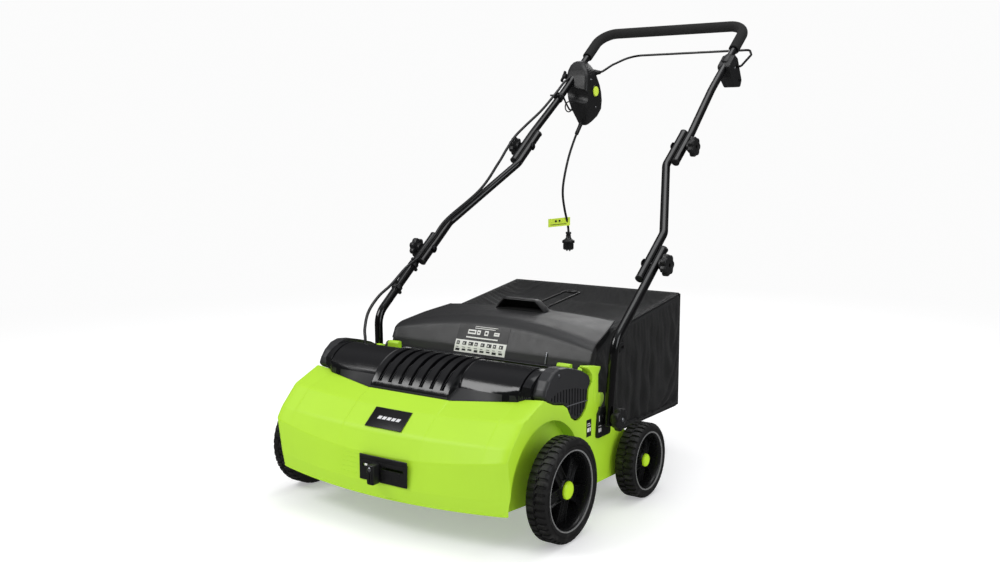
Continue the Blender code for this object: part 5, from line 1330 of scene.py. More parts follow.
def edge_distance(p):
    """Distance from the nearest wire of the bag's frame."""
    half, top = bag_half(p.y), bag_top(p.y)
    dx, dzt, dzb, dy = half - abs(p.x), top - p.z, p.z - Z0, Y1 - p.y
    d = [math.hypot(dx, dzt), math.hypot(dx, dzb), math.hypot(dy, dx), math.hypot(dy, dzt), math.hypot(dy, dzb), (p.y - Y0) * 0.6]
    return min(d)


bag = bag_shell(88, 80, 48)
if bag.data.polygons[0].normal.length and sum((p.center - Vector((0, 0.475, 0.24))).dot(p.normal) for p in bag.data.polygons) < 0:
    bag.data.flip_normals()
vg = bag.vertex_groups.new(name="pin")
for v in bag.data.vertices:
    d = edge_distance(v.co)
    w = 1.0 if d < 0.013 else max(0.0, 1 - (d - 0.013) / 0.02) * 0.35
    if w > 0:
        vg.add([v.index], w, "REPLACE")
cl = bag.modifiers.new("cloth", "CLOTH")
st = cl.settings
st.quality = 5
st.mass = 0.25
st.tension_stiffness = 18
st.compression_stiffness = 6
st.shear_stiffness = 4
st.bending_stiffness = 0.4
st.vertex_group_mass = "pin"
st.pin_stiffness = 2.0
st.shrink_min = -0.035
st.use_pressure = True
st.uniform_pressure_force = 0.35
cl.collision_settings.use_collision = False
sc_ = bpy.context.scene
sc_.frame_start, sc_.frame_end = 1, 26
cl.point_cache.frame_start, cl.point_cache.frame_end = 1, 26
for f in range(1, 27):
    sc_.frame_set(f)
bake(bag)
sc_.frame_set(1)
# gentle folds pulled from the seams
co = [v.co.copy() for v in bag.data.vertices]
for v, p in zip(bag.data.vertices, co):
    d = edge_distance(p)
    f = min(1.0, max(0.0, (d - 0.004) / 0.05))
    s = math.sin(p.y * 41 + p.z * 23 + 1.3) * math.sin(p.z * 57 - p.y * 17) + 0.5 * math.sin(p.y * 90 + p.z * 60 + p.x * 35)
    if abs(p.x) > bag_half(p.y) - 0.02:
        v.co.x += math.copysign(1, p.x) * (0.0022 * f * s + 0.0035 * f)
    elif p.z > bag_top(p.y) - 0.03:
        v.co.z += 0.0016 * f * math.sin(p.x * 60 + p.y * 30) * math.sin(p.y * 44 - p.x * 12) - 0.003 * f
    elif p.y > Y1 - 0.03:
        v.co.y += 0.0024 * f * math.sin(p.x * 38 + p.z * 44)
so = bag.modifiers.new("cloth_wall", "SOLIDIFY")
so.thickness = 0.0012
so.offset = -1
bake(bag)
put(bag, "collection_bag_fabric", "bag", "bag_fabric", "collection_bag", deg=70)


def frame_path(kind, r=0.020, n=8):
    """Lines along the rounded edges of the bag."""
    pts = []
    c = r * (1 - math.sqrt(0.5))
    if kind[0] == "side":            # along Y at the top or bottom corner
        sx, topside = kind[1], kind[2]
        for y in np.linspace(Y0 + 0.002, Y1 - r, 30):
            y = float(y)
            z = (bag_top(y) - c) if topside else Z0 + c
            pts.append((sx * (bag_half(y) - c), y, z))
        pts.append((sx * (bag_half(Y1) - c - 0.002), Y1 - c - 0.001, (bag_top(Y1) - c) if topside else Z0 + c))
        pts.append((sx * (bag_half(Y1) - r), Y1 - c, (bag_top(Y1) - c) if topside else Z0 + c))
        pts.append((0.0, Y1 - c, (bag_top(Y1) - c) if topside else Z0 + c))
    else:                            # rear upright
        sx = kind[1]
        for z in np.linspace(Z0 + c, bag_top(Y1) - c, 14):
            pts.append((sx * (bag_half(Y1) - c), Y1 - c, float(z)))
    return pts


for sx in (-1, 1):
    for tp in (True, False):
        put(rod("pipe", frame_path(("side", sx, tp)), 0.0026, "bag_piping", 3), side("bag_piping_" + ("top" if tp else "bottom"), sx), "bag", "bag_fabric")
    put(rod("pipe", frame_path(("up", sx)), 0.0026, "bag_piping", 3), side("bag_piping_rear", sx), "bag", "bag_fabric")
# plastic mouth frame
mouth = []
for x, z in fillet([(-0.2330, Z0 + 0.002), (0.2330, Z0 + 0.002), (0.2330, 0.2965), (-0.2330, 0.2965)], 0.018, 6):
    mouth.append((x, 0.2668, z))
mouth.append(mouth[0])
put(rod("mf", mouth, 0.0034, "black_plastic", 4), "bag_mouth_frame", "bag", "bag_fabric")
# webbing strap and buckle on the side seam
for sx in (-1, 1):
    o = loft("strap", [[(sx * 0.2405, y - 0.009, z), (sx * 0.2405, y + 0.009, z), (sx * 0.2425, y + 0.009, z), (sx * 0.2425, y - 0.009, z)]
                       for y, z in ((0.372, 0.300), (0.372, 0.322), (0.372, 0.336))], "bag_piping")
    put(o, side("bag_clip_strap", sx), "bag", "bag_fabric", bevel=0.0006)
    o = prism("buckle", fillet([(0.3610, 0.292), (0.3830, 0.292), (0.3830, 0.312), (0.3610, 0.312)], 0.005, 4), *sorted((sx * 0.2420, sx * 0.2455)))
    o.data.materials.clear(); o.data.materials.append(M["black_plastic"])
    boolean(o, box("win", (min(sx * 0.24, sx * 0.25), 0.3660, 0.2990), (max(sx * 0.24, sx * 0.25), 0.3780, 0.3050)))
    put(o, side("bag_clip", sx), "bag", "bag_fabric", bevel=0.0008)
bh = rod("bh", rounded([(-0.021, 0.424, 0.3570), (-0.021, 0.430, 0.3640), (-0.021, 0.576, 0.3800), (0.021, 0.576, 0.3800), (0.021, 0.430, 0.3640), (0.021, 0.424, 0.3570)], 0.007, 6),
         0.0026, "black_plastic", 5)
put(bh, "bag_carry_loop", "bag", "black_plastic", "bag_handle")
gr = rod("bhg", [(-0.012, 0.576, 0.3800), (0.012, 0.576, 0.3800)], 0.0042, "black_plastic", 5)
put(gr, "bag_carry_grip", "bag", "black_plastic", bevel=0.0008)
for sx in (-1, 1):
    o = box("foot", (sx * 0.021 - 0.006, 0.4120, 0.3520), (sx * 0.021 + 0.006, 0.4340, 0.3570), "black_plastic", bevel=0.0018, segments=3)
    put(o, side("bag_carry_foot", sx), "bag", "black_plastic")

# ------------------------------------------------------------------ handle
def tube_piece(name, pts, body, node, r=TUBE_R, plugs=()):
    o = rod("tube", pts, r, "painted_tube", 8)
    put(o, name, body, "painted_tube", node, deg=40)
    P = [Vector(p) for p in pts]
    for k, end in enumerate(plugs):
        a, b = (P[0], P[1]) if end == 0 else (P[-1], P[-2])
        d = (a - b).normalized()
        plug = lathe("plug", [(0.0, -0.002), (r * 0.99, -0.002), (r * 1.06, 0.0), (r * 1.06, 0.0014), (r * 0.9, 0.0030), (r * 0.5, 0.0038), (0.0, 0.0040)], 0, 0, "black_plastic", 32)
        plug.data.transform(Vector((1, 0, 0)).rotation_difference(d).to_matrix().to_4x4())
        plug.location = a
        put(plug, f"{name}_plug_{k + 1}", body, "black_plastic")


for sx in (-1, 1):
    y, z = on_handle(-0.227)
    tube_piece(side("lower_handle_tube", sx), rounded([(sx * 0.3030, 0.2060, 0.1760), (sx * 0.3055, 0.2100, 0.2400), (sx * 0.3110, y, z),
               (sx * LOWER_X, *on_handle(-0.12)), (sx * LOWER_X, *on_handle(0.046))], [0.0, 0.055, 0.0], 14), "lower_handle", side("lower_tube", sx), plugs=(0, 1))
    tube_piece(side("middle_handle_tube", sx), rounded([(sx * MIDDLE_X, *on_handle(-0.046)), (sx * MIDDLE_X, *on_handle(0.0958)),
               (sx * MID_TOP_X, *on_handle(JOINT_STEP - 0.069)), (sx * MID_TOP_X, *on_handle(JOINT_STEP + 0.052))], 0.040, 10), "middle_handle", side("middle_tube", sx), plugs=(0, 1))
    for tag, at, xin, xout, bname in (("body_bolt", BODY_PIVOT, 0.2636, 0.3215, "lower_handle"), ("lower_bolt", LOW_JOINT, 0.2827, 0.3300, "lower_handle"),
                                      ("upper_bolt", UP_JOINT, 0.1982, 0.2460, "upper_handle")):
        prof = [(0.0, xin - 0.0046), (0.0030, xin - 0.0044), (0.0060, xin - 0.0034), (0.0080, xin - 0.0018), (0.0085, xin - 0.0008), (0.0085, xin), (BOLT_R, xin), (BOLT_R, xout - 0.014)]
        k = 0
        while xout - 0.014 + 0.00125 * (k + 1) < xout:
            x = xout - 0.014 + 0.00125 * k
            prof += [(BOLT_R, x + 0.0003), (BOLT_R - 0.0006, x + 0.0009)]
            k += 1
        prof += [(BOLT_R - 0.0006, xout), (0.0, xout)]
        steel = "zinc_steel" if tag == "body_bolt" else "black_zinc"
        o = lathe("bolt", prof, *at, steel, 32)
        apply(o)
        if sx < 0:
            mirror_x(o)
        put(o, side(tag, sx) + "_domed", bname, "zinc_steel", side(tag, sx), deg=40)
        w = lathe("washer", [(BOLT_R + 0.0004, xin + 0.0001), (0.0100, xin + 0.0001), (0.0105, xin + 0.0005), (0.0105, xin + 0.0011), (0.0100, xin + 0.0013), (BOLT_R + 0.0004, xin + 0.0013)], *at, steel, 40)
        apply(w)
        if sx < 0:
            mirror_x(w)
        put(w, side(tag, sx) + "_washer", bname, "zinc_steel")
    for tag, at, xk in (("body_knob", BODY_PIVOT, 0.3130), ("lower_knob", LOW_JOINT, 0.3220), ("upper_knob", UP_JOINT, 0.2376)):
        rings = []
        for dx, r, lobe in ((0.0005, 0.0105, 0.0), (0.0009, 0.0115, 0.0), (0.0078, 0.0120, 0.0), (0.0086, 0.0150, 0.06), (0.0091, KNOB_R * 0.93, 0.16), (0.0099, KNOB_R * 0.985, 0.18),
                            (0.0112, KNOB_R, 0.18), (0.0188, KNOB_R, 0.18), (0.0208, KNOB_R * 0.975, 0.18), (0.0222, KNOB_R * 0.92, 0.16), (0.0230, KNOB_R * 0.80, 0.10), (0.0233, KNOB_R * 0.60, 0.03),
                            (0.0231, KNOB_R * 0.50, 0.0), (0.0222, KNOB_R * 0.46, 0.0), (0.0222, KNOB_R * 0.25, 0.0)):
            ring = []
            for k in range(98):
                a = 2 * math.pi * k / 98
                sc7 = (0.5 - 0.5 * math.cos(7 * a)) ** 1.6
                ring.append((sx * (xk + dx), at[0] + r * (1 - lobe * sc7) * math.cos(a), at[1] + r * (1 - lobe * sc7) * math.sin(a)))
            rings.append(ring)
        kn = loft("kn", rings, "black_plastic", 40)
        boolean(kn, cylinder("tap", BOLT_R + 0.0003, *sorted((sx * (xk - 0.002), sx * (xk + 0.03))), *at, verts=24))
        put(kn, side(tag, sx) + "_star", side(tag, sx), "black_plastic", side(tag, sx), deg=36)
        if tag == "body_knob":
            nut = lathe("nut", [(0.0, xk + 0.0205), (0.0042, xk + 0.0205), (0.0044, xk + 0.0212), (0.0044, xk + 0.0236), (0.0036, xk + 0.0246), (0.0020, xk + 0.0251), (0.0, xk + 0.0252)], *at, "zinc_steel", 40)
            apply(nut)
            if sx < 0:
                mirror_x(nut)
            put(nut, side(tag, sx) + "_nut", side(tag, sx), "black_plastic")

loop = [(-UPPER_X, *on_handle(JOINT_STEP - 0.058)), (-UPPER_X, *on_handle(JOINT_STEP + 0.05)), (-GRIP_X, *on_handle(0.62)), (-GRIP_X, *on_handle(GRIP_T)),
        (GRIP_X, *on_handle(GRIP_T)), (GRIP_X, *on_handle(0.62)), (UPPER_X, *on_handle(JOINT_STEP + 0.05)), (UPPER_X, *on_handle(JOINT_STEP - 0.058))]
tube_piece("upper_handle_loop", rounded(loop, [0.0, 0.0, 0.048, 0.048, 0.0, 0.0], 14), "upper_handle", "upper_tube", plugs=(0, 1))
fp = rounded([(-GRIP_X, *on_handle(0.7935)), (-GRIP_X, *on_handle(GRIP_T)), (GRIP_X, *on_handle(GRIP_T)), (GRIP_X, *on_handle(0.7935))], 0.048, 16)
put(rod("foam", fp, FOAM_R - 0.0004, "grip_foam", 10, FOAM_R - TUBE_R - 0.0010), "foam_grip_sleeve", "upper_handle", "grip_foam", "foam_grip", bevel=0.0012, seg=3, angle=50)

# ------------------------------------------------------------------ switch box
SEC = [(0.9665, 0.9700, 0.9840, -0.2280, -0.2080), (0.9620, 0.9580, 0.9890, -0.2340, -0.1990), (0.9540, 0.9470, 0.9910, -0.2370, -0.1900), (0.9400, 0.9360, 0.9880, -0.2380, -0.1760),
       (0.9220, 0.9280, 0.9880, -0.2380, -0.1680), (0.9000, 0.9220, 1.0000, -0.2370, -0.1655), (0.8800, 0.9190, 1.0080, -0.2330, -0.1650), (0.8580, 0.9200, 1.0130, -0.2270, -0.1655),
       (0.8350, 0.9250, 1.0120, -0.2210, -0.1670), (0.8150, 0.9350, 0.9980, -0.2150, -0.1710), (0.8000, 0.9430, 0.9780, -0.2100, -0.1770), (0.7920, 0.9480, 0.9660, -0.2060, -0.1830), (0.7890, 0.9520, 0.9600, -0.2020, -0.1880)]
rings = []
for i in range(len(SEC) - 1):
    for k in range(3):
        f = k / 3
        sec = [a + (b - a) * f for a, b in zip(SEC[i], SEC[i + 1])]
        rings.append(sec)
rings.append(list(SEC[-1]))
R3 = []
for z, yf, yb, x0, x1 in rings:
    r = min(0.012, (yb - yf) * 0.32, (x1 - x0) * 0.30)
    R3.append([(px_, py_, z) for px_, py_ in fillet([(x0, yf), (x1, yf), (x1, yb), (x0, yb)], [r, r, r * 0.9, r], 6)])
sb = loft("sb", R3, "black_plastic", 40)
boolean(sb, cylinder("button_well", 0.0146, -0.1790, -0.15, 0.970, 0.882, verts=64))
boolean(sb, cylinder("bail_well", 0.0032, -0.1960, -0.15, *BAIL_PIVOT, verts=32))
# finger recess on the front, and the shut line between the two halves
rec = cylinder("rec", 0.0240, -0.0600, 0.0600, 0, 0, verts=96)
apply(rec)
rec.data.transform(Matrix.Translation((-0.2020, 0.9060, 0.8720)) @ Matrix.Rotation(math.radians(14), 4, "Y"))
boolean(sb, rec)
boolean(sb, box("shut", (-0.2012, 0.90, 0.78), (-0.2002, 0.9200, 0.98)))
put(sb, "switch_box_housing", "upper_handle", "black_plastic", "switch_box", deg=36, weighted=True)
put(lathe("bez", [(0.0140, -0.1660), (0.0150, -0.1648), (0.0168, -0.1640), (0.0176, -0.1650), (0.0176, -0.1690), (0.0140, -0.1700)], 0.970, 0.882, "cover_gloss", 64), "switch_button_bezel", "upper_handle", "black_plastic")
put(lathe("btn", [(0.0, -0.1718), (0.0130, -0.1718), (0.0134, -0.1712), (0.0134, -0.1640), (0.0126, -0.1628), (0.0100, -0.1618), (0.0060, -0.1613), (0.0, -0.1612)], 0.970, 0.882, "tag_green", 64),
    "lock_button_cap", "lock_button", "green_plastic", "lock_button")
put(cross_screw("s", (-0.1652, 0.9450, 0.9120), (1, 0, 0), 0.0024), "switch_box_screw_1", "upper_handle", "zinc_steel")
put(cross_screw("s", (-0.1672, 0.9750, 0.8380), (1, 0, 0), 0.0028), "switch_box_screw_2", "upper_handle", "zinc_steel")

BRK = [(0.9420, 0.9340), (0.9780, 0.9640), (0.9960, 0.9560), (1.0080, 0.9340), (1.0260, 0.9020), (1.0180, 0.8840), (0.9880, 0.8820), (0.9560, 0.9060)]
rings = []
for x, d in ((0.2020, -0.0035), (0.2028, -0.0018), (0.2042, -0.0004), (0.2060, 0.0), (0.2340, 0.0), (0.2358, -0.0004), (0.2370, -0.0018), (0.2375, -0.0035)):
    rings.append([(x, y, z) for y, z in grown(fillet(BRK, 0.008, 4), d)])
brk = loft("brk", rings, "black_plastic", 36)
boolean(brk, cylinder("bail_well", 0.0032, 0.2240, 0.25, *BAIL_PIVOT, verts=32))
boolean(brk, cylinder("eye", 0.0045, 0.19, 0.25, 1.0060, 0.9000, verts=40))
o = lathe("c", [(TUBE_R + 0.0003, -0.016), (TUBE_R + 0.0028, -0.016), (TUBE_R + 0.0036, -0.0145), (TUBE_R + 0.0036, 0.0145), (TUBE_R + 0.0028, 0.016), (TUBE_R + 0.0003, 0.016)], 0, 0, "black_plastic", 48)
o.data.transform(Vector((1, 0, 0)).rotation_difference(Vector((0, U[0], U[1]))).to_matrix().to_4x4())
o.location = (GRIP_X, *on_handle(0.742))
put(o, "bail_bracket_collar", "upper_handle", "black_plastic")
put(cross_screw("s", (0.2377, 0.9760, 0.9300), (1, 0, 0), 0.0030), "bail_bracket_screw", "upper_handle", "zinc_steel")
put(brk, "bail_bracket_body", "upper_handle", "black_plastic", "bail_bracket", deg=36, weighted=True)
py, pz = BAIL_PIVOT
bail = rod("bail", rounded([(-0.1940, py, pz), (-0.1580, py, pz), (-0.1450, py + 0.040, pz + 0.022), (-0.1150, py + 0.098, pz + 0.049), (0.2330, py + 0.098, pz + 0.049),
                            (0.2480, py + 0.070, pz + 0.034), (0.2480, py, pz), (0.2255, py, pz)], [0.014, 0.06, 0.06, 0.014, 0.012, 0.008], 12), 0.0031, "painted_tube", 6)
put(lathe("horn", [(0.0036, -0.1800), (0.0090, -0.1800), (0.0076, -0.1730), (0.0058, -0.1670), (0.0052, -0.1620), (0.0048, -0.1610), (0.0036, -0.1610)], py, pz, "black_plastic", 48), "switch_box_horn", "upper_handle", "black_plastic")
put(bail, "bail_wire", "bail", "cord_rubber", "bail_lever", deg=50)

# ------------------------------------------------------------------ cables, cord and plug
C = 0.0160
def cable(name, pts, a, b, s, e, *nodes):
    o = rod("cable", catmull(pts, 8), 0.0034, "cord_rubber", 5)
    o = put(o, name, None, "cord_rubber", *nodes, deg=60)
    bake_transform(o)
    return o


cable("motor_cable_lower_run", [(-0.2380, 0.0850, 0.2980), (-0.2420, 0.0900, 0.3130), (-0.2560, 0.1050, 0.3330), (-0.2800, 0.1450, 0.3620), (-0.2930, 0.1950, 0.3900), (-0.2965, 0.2450, 0.4120), (-0.2985, 0.3000, 0.4450),
      (-0.2985, *on_handle(-0.050, 0.0135))], "chassis", "lower_handle", (-0.242, 0.100, 0.320), (-0.298, 0.260, 0.420), "motor_cable_lower")
cable("motor_cable_middle_run", [(-0.2985, *on_handle(-0.050, 0.0135)), (-0.2960, *on_handle(-0.020, 0.0150)), (-MIDDLE_X, *on_handle(0.030, C)), (-MIDDLE_X + 0.002, *on_handle(0.090, C)),
      (-0.2500, *on_handle(0.200, C + 0.002)), (-0.2395, *on_handle(0.290, C + 0.012)), (-0.2385, *on_handle(0.340, C + 0.017))],
      "lower_handle", "middle_handle", (-0.296, *on_handle(-0.030, 0.013)), (-0.292, *on_handle(0.050, 0.015)), "motor_cable_middle")
cable("motor_cable_upper_run", [(-0.2385, *on_handle(0.340, C + 0.017)), (-0.2370, *on_handle(0.390, C + 0.020)), (-0.2310, *on_handle(0.440, C + 0.017)), (-0.2240, *on_handle(0.52, C + 0.007)), (-0.2215, *on_handle(0.60, C + 0.002)),
      (-0.2200, *on_handle(0.650, C + 0.001)), (-0.2180, *on_handle(0.680, C - 0.004))],
      "middle_handle", "upper_handle", (-0.229, *on_handle(0.345, 0.03)), (-0.227, *on_handle(0.455, 0.03)), "motor_cable_upper")


def strap_clip(name, x, t, body):
    """Plastic clip round a handle tube, with two ball ends."""
    y, z = on_handle(t)
    c = Vector((x, y, z))
    d = Vector((0, U[0], U[1]))
    o = lathe("c", [(TUBE_R + 0.0002, -0.006), (TUBE_R + 0.0020, -0.006), (TUBE_R + 0.0026, -0.005), (TUBE_R + 0.0026, 0.005), (TUBE_R + 0.0020, 0.006), (TUBE_R + 0.0002, 0.006)], 0, 0, "black_plastic", 40)
    o.data.transform(Vector((1, 0, 0)).rotation_difference(d).to_matrix().to_4x4())
    o.location = c
    put(o, name + "_band", body, "black_plastic")
    n = Vector((0, N[0], N[1]))
    for k, off in enumerate((n * (TUBE_R + 0.0110), -n * (TUBE_R + 0.0060))):
        o = lathe("b", [(0.0, -0.0048), (0.0030, -0.0038), (0.0046, -0.0016), (0.0046, 0.0016), (0.0030, 0.0038), (0.0, 0.0048)], 0, 0, "black_plastic", 24)
        o.location = c + off + Vector((0.010 if k == 0 else 0.0, 0, 0)) * (1 if x < 0 else -1)
        put(o, f"{name}_end_{k + 1}", body, "black_plastic")


strap_clip("lower_cable_clip", -0.3120, -0.138, "lower_handle")
strap_clip("lower_cable_clip_2", -0.3120, -0.060, "lower_handle")

o = lathe("c", [(TUBE_R + 0.0002, -0.008), (TUBE_R + 0.0022, -0.008), (TUBE_R + 0.0030, -0.007), (TUBE_R + 0.0030, -0.002), (TUBE_R + 0.0020, -0.001), (TUBE_R + 0.0020, 0.001), (TUBE_R + 0.0030, 0.002), (TUBE_R + 0.0030, 0.007), (TUBE_R + 0.0022, 0.008), (TUBE_R + 0.0002, 0.008)], 0, 0, "black_plastic", 48)
o.data.transform(Vector((1, 0, 0)).rotation_difference(Vector((0, U[0], U[1]))).to_matrix().to_4x4())
o.location = (-0.2200, *on_handle(0.606))
put(o, "cord_retainer_band", "upper_handle", "black_plastic")
ringp = []
for k in range(33):
    a = 2 * math.pi * k / 32
    ringp.append((-0.1990 + 0.0085 * math.cos(a), on_handle(0.603, -0.0290)[0] + 0.004 * math.cos(a), on_handle(0.603, -0.0290)[1] + 0.0135 * math.sin(a)))
put(rod("ring", ringp, 0.0017, "black_plastic", 4), "cord_retainer_ring", "upper_handle", "black_plastic")
# wing nut that clamps the box to the tube
wc = Vector((-0.2440, 0.9350, 0.9230))
put(lathe("wn", [(0.0, -0.2500), (0.0050, -0.2500), (0.0065, -0.2485), (0.0075, -0.2380), (0.0, -0.2380)], wc.y, wc.z, "black_plastic", 32), "box_clamp_nut", "upper_handle", "black_plastic")
for k, sgn in enumerate((-1, 1)):
    o = prism("w", fillet([(0.003, -0.0035), (0.0170, -0.0060), (0.0185, 0.0), (0.0160, 0.0050), (0.003, 0.0035)], 0.002, 3), -0.2500, -0.2465)
    o.data.materials.clear(); o.data.materials.append(M["black_plastic"])
    o.data.transform(Matrix.Translation((0, wc.y, wc.z)) @ Matrix.Rotation(math.radians(55 + (180 if sgn > 0 else 0)), 4, "X"))
    put(o, f"box_clamp_wing_{k + 1}", "upper_handle", "black_plastic", bevel=0.0006)

clip = rod("clip", rounded([(-0.2400, *on_handle(0.600, 0.0125)), (-0.2010, *on_handle(0.600, 0.0125)), (-0.2010, *on_handle(0.600, -0.0130)), (-0.1990, *on_handle(0.602, -0.0400)),
                            (-0.1870, *on_handle(0.604, -0.0400)), (-0.1870, *on_handle(0.606, -0.0180))], 0.006, 8), 0.0024, "black_plastic", 5)
put(clip, "cord_retainer_hook", "upper_handle", "black_plastic", "cord_retainer")
cpts = [(-0.1960, 0.9480, 0.8020), (-0.1950, 0.9380, 0.7880), (-0.1960, 0.9120, 0.7540), (-0.2000, 0.8850, 0.7000), (-0.2040, 0.8680, 0.6400), (-0.2060, 0.8660, 0.6000), (-0.2060, 0.8760, 0.5600),
        (-0.2050, 0.8890, 0.5250), (-0.2050, 0.8955, 0.5030), (-0.2050, 0.8965, 0.4860)]
cp = catmull(cpts, 8)
put(rod("cord", cp, 0.0032, "cord_rubber", 6), "power_cord_lead", "upper_handle", "cord_rubber", "power_cord", deg=60)
# ribbed strain relief at the box
put(rod("sleeve", [Vector(p) for p in cp[1:15]], 0.0054, "cord_rubber", 4), "strain_relief_sleeve", "upper_handle", "cord_rubber", bevel=0.0008, seg=2, angle=50)
for k in range(6):
    a, b = cp[2 + k * 2], cp[3 + k * 2]
    d = (b - a).normalized()
    rr = 0.0074 - 0.0005 * k
    o = lathe("sr", [(0.0033, -0.0016), (rr - 0.0008, -0.0016), (rr, -0.0008), (rr, 0.0008), (rr - 0.0008, 0.0016), (0.0033, 0.0016)], 0, 0, "cord_rubber", 32)
    o.data.transform(Vector((1, 0, 0)).rotation_difference(d).to_matrix().to_4x4())
    o.location = a
    put(o, f"strain_relief_ring_{k + 1}", "upper_handle", "cord_rubber")
plug = lathe("plug", [(0.0036, 0.050), (0.0072, 0.0492), (0.0078, 0.0480), (0.0078, 0.0440), (0.0062, 0.0432), (0.0062, 0.0405), (0.0070, 0.0400), (0.0070, 0.0345), (0.0090, 0.0310), (0.0125, 0.0280), (0.0160, 0.0262),
                      (0.0172, 0.0250), (0.0174, 0.0236), (0.0174, 0.0200), (0.0168, 0.0186), (0.0142, 0.0176), (0.0138, 0.0160), (0.0138, 0.0015), (0.0124, 0.0), (0.0, 0.0), (0.0, 0.040), (0.0036, 0.040)], 0.0, 0.0, "cord_rubber", 56)
apply(plug)
plug.data.transform(Matrix.Rotation(-math.pi / 2, 4, "Y"))
plug.location = (-0.2050, 0.8965, 0.4460)
put(plug, "power_plug_body", "upper_handle", "cord_rubber", "power_plug", deg=40)
for k in range(10):
    a = 2 * math.pi * k / 10
    put(rod("pr", [(-0.2050 + 0.0137 * math.cos(a), 0.8965 + 0.0137 * math.sin(a), 0.4480), (-0.2050 + 0.0137 * math.cos(a), 0.8965 + 0.0137 * math.sin(a), 0.4620)], 0.0011, "cord_rubber", 2), f"plug_grip_rib_{k + 1}", "upper_handle", "cord_rubber")
for k, dx in enumerate((-0.0045, 0.0045)):
    o = box("pin", (-0.2050 + dx - 0.0008, 0.8930, 0.4420), (-0.2050 + dx + 0.0008, 0.9000, 0.4465), "zinc_steel", bevel=0.0003)
    put(o, f"plug_blade_{k + 1}", "upper_handle", "zinc_steel")
def tag_point(s, h, lift=0.0):
    """Point on the folded tag: s from the cord outwards, h above its middle."""
    bow = 0.0020 * math.sin(s * 70)
    return (-0.2000 - s * 0.82 + lift * 0.57, 0.8890 - s * 0.57 - lift * 0.82 + bow, 0.5255 + h - s * 0.10)


tag_rows = [[tag_point(s, h) for s in np.linspace(-0.004, 0.056, 16)] for h in (-0.0115, -0.004, 0.004, 0.0115)]
put(patch("tag", tag_rows, "tag_green", 0.0006), "cord_tag", "upper_handle", "cord_rubber")
for k, s0 in enumerate((0.0240, 0.0340)):
    rows_ = [[tag_point(s, h, 0.0012) for s in (s0, s0 + 0.0030, s0 + 0.0045)] for h in (0.0010, 0.0040, 0.0065)]
    put(patch("tm", rows_, "label_dark", 0.0002), f"cord_tag_mark_{k + 1}", "upper_handle", "cord_rubber")
rows_ = [[tag_point(s, h, 0.0012) for s in np.linspace(0.008, 0.050, 8)] for h in (-0.0062, -0.0048)]
put(patch("tm", rows_, "label_dark", 0.0002), "cord_tag_line", "upper_handle", "cord_rubber")

# ------------------------------------------------------------------ stage, light and camera
for o in [o for o in bpy.data.objects if o.type in ("LIGHT", "CAMERA")]:
    bpy.data.objects.remove(o, do_unlink=True)
me = bpy.data.meshes.new("floor")
S = 14.0
pts = [(-S, -S, 0), (S, -S, 0), (S, S, 0), (-S, S, 0)]
me.from_pydata(pts, [], [(0, 1, 2, 3)])
floor = bpy.data.objects.new("studio_floor", me)
PARTS.objects.link(floor)
fm = bpy.data.materials.new("floor")
fm.use_nodes = True
fp_ = fm.node_tree.nodes["Principled BSDF"]
fp_.inputs["Base Color"].default_value = (0.82, 0.82, 0.82, 1)
fp_.inputs["Roughness"].default_value = 0.60
fp_.inputs["Specular IOR Level"].default_value = 0.2
fp_.inputs["Emission Color"].default_value = (1, 1, 1, 1)
fp_.inputs["Emission Strength"].default_value = 0.16
fn, fl = fm.node_tree.nodes, fm.node_tree.links
ft = fn.new("ShaderNodeTexCoord")
fv = fn.new("ShaderNodeVectorMath"); fv.operation = "LENGTH"
fl.new(ft.outputs["Object"], fv.inputs[0])
fr_ = fn.new("ShaderNodeMapRange")
fr_.inputs["From Min"].default_value = 1.1
fr_.inputs["From Max"].default_value = 3.2
fl.new(fv.outputs["Value"], fr_.inputs["Value"])
fe = fn.new("ShaderNodeEmission")
fe.inputs["Color"].default_value = (0.97, 0.97, 0.97, 1)
fx = fn.new("ShaderNodeMixShader")
fl.new(fr_.outputs[0], fx.inputs[0])
fb = fn.new("ShaderNodeEmission")
fb.inputs["Color"].default_value = (0.17, 0.17, 0.175, 1)
fa = fn.new("ShaderNodeAddShader")
fl.new(fp_.outputs[0], fa.inputs[0])
fl.new(fb.outputs[0], fa.inputs[1])
fl.new(fa.outputs[0], fx.inputs[1])
fl.new(fe.outputs[0], fx.inputs[2])
fg = fn.new("ShaderNodeEmission")
fg.inputs["Color"].default_value = (0.10, 0.10, 0.10, 1)
fpath = fn.new("ShaderNodeLightPath")
fy = fn.new("ShaderNodeMixShader")
fl.new(fpath.outputs["Is Glossy Ray"], fy.inputs[0])
fl.new(fx.outputs[0], fy.inputs[1])
fl.new(fg.outputs[0], fy.inputs[2])
fl.new(fy.outputs[0], fn["Material Output"].inputs["Surface"])
me.materials.append(fm)
wd = bpy.data.worlds.new("studio")
bpy.context.scene.world = wd
wd.use_nodes = True
bg = wd.node_tree.nodes["Background"]
wn, wl = wd.node_tree.nodes, wd.node_tree.links
lp = wn.new("ShaderNodeLightPath")
tcw = wn.new("ShaderNodeTexCoord")
spx = wn.new("ShaderNodeSeparateXYZ")
wl.new(tcw.outputs["Generated"], spx.inputs[0])
rp = wn.new("ShaderNodeValToRGB")
el = rp.color_ramp.elements
el[0].position, el[0].color = 0.0, (0.05, 0.05, 0.05, 1)
el[1].position, el[1].color = 1.0, (0.42, 0.44, 0.46, 1)
for pos, v in ((0.50, 0.04), (0.66, 0.05), (0.80, 0.12), (0.90, 0.34)):
    e = el.new(pos)
    e.color = (v, v, v * 1.03, 1)
mrw = wn.new("ShaderNodeMapRange")
mrw.inputs["From Min"].default_value = -1.0
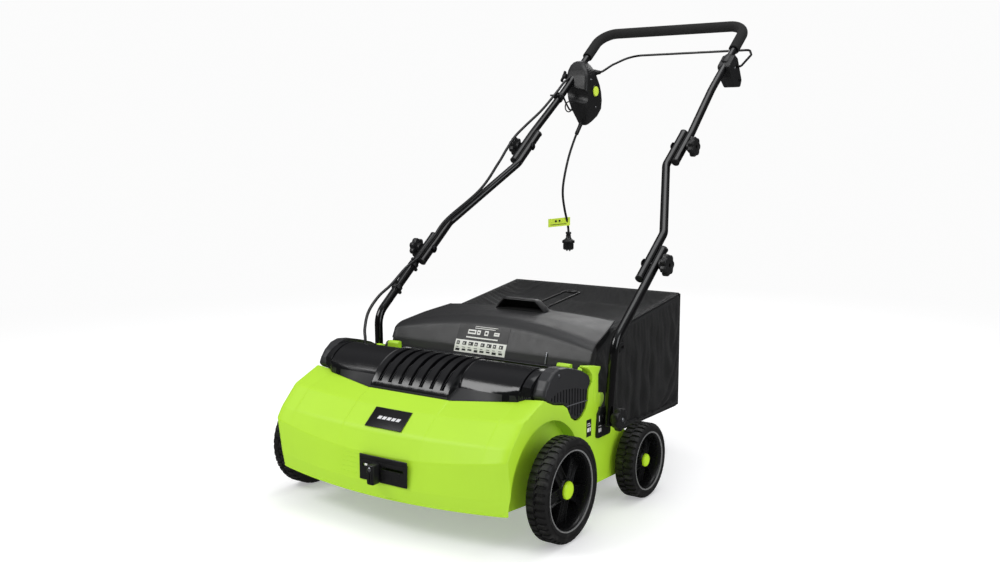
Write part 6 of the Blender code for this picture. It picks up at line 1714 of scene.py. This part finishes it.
wl.new(spx.outputs["Z"], mrw.inputs["Value"])
wl.new(mrw.outputs[0], rp.inputs["Fac"])
mg = wn.new("ShaderNodeMixRGB")
mg.inputs[1].default_value = (0.60, 0.60, 0.60, 1)
wl.new(rp.outputs["Color"], mg.inputs[2])
wl.new(lp.outputs["Is Glossy Ray"], mg.inputs[0])
mc_ = wn.new("ShaderNodeMixRGB")
wl.new(mg.outputs[0], mc_.inputs[1])
mc_.inputs[2].default_value = (0.97, 0.97, 0.97, 1)
wl.new(lp.outputs["Is Camera Ray"], mc_.inputs[0])
wl.new(mc_.outputs[0], bg.inputs["Color"])
bg.inputs["Strength"].default_value = 1.0


def area(name, loc, aim, size, size_y, power, tint=(1, 1, 1)):
    ld = bpy.data.lights.new(name, "AREA")
    ld.shape = "RECTANGLE"
    ld.size, ld.size_y, ld.energy, ld.color = size, size_y, power, tint
    ld.specular_factor = 0.45
    ob = bpy.data.objects.new(name, ld)
    PARTS.objects.link(ob)
    ob.location = loc
    ob.rotation_euler = (Vector(aim) - Vector(loc)).to_track_quat("-Z", "Y").to_euler()
    return ob


area("key", (-1.6, -2.4, 2.6), (0, 0, 0.4), 1.6, 1.2, 46)
area("side", (3.0, -0.6, 1.5), (0, 0, 0.5), 1.4, 1.8, 20, (0.94, 0.97, 1.0))
area("top", (0.2, 0.3, 3.2), (0, 0, 0.3), 2.2, 2.2, 30)
area("back", (-1.0, 3.0, 2.0), (0, 0, 0.5), 1.6, 1.2, 18)

cam_data = bpy.data.cameras.new("photo_camera")
cam_data.lens, cam_data.sensor_width = 38.605, 36.0
cam = bpy.data.objects.new("photo_camera", cam_data)
PARTS.objects.link(cam)
cam.location = (1.3193, -1.6600 + AY, 0.7411)
cam.rotation_euler = (math.radians(90 - 7.381), 0, math.radians(34.468))
bpy.context.scene.camera = cam
bpy.context.scene.view_settings.view_transform = "Standard"

for ob in [o for o in bpy.data.objects if o.type == "MESH" and o.name in ("tools",)]:
    bpy.data.objects.remove(ob, do_unlink=True)
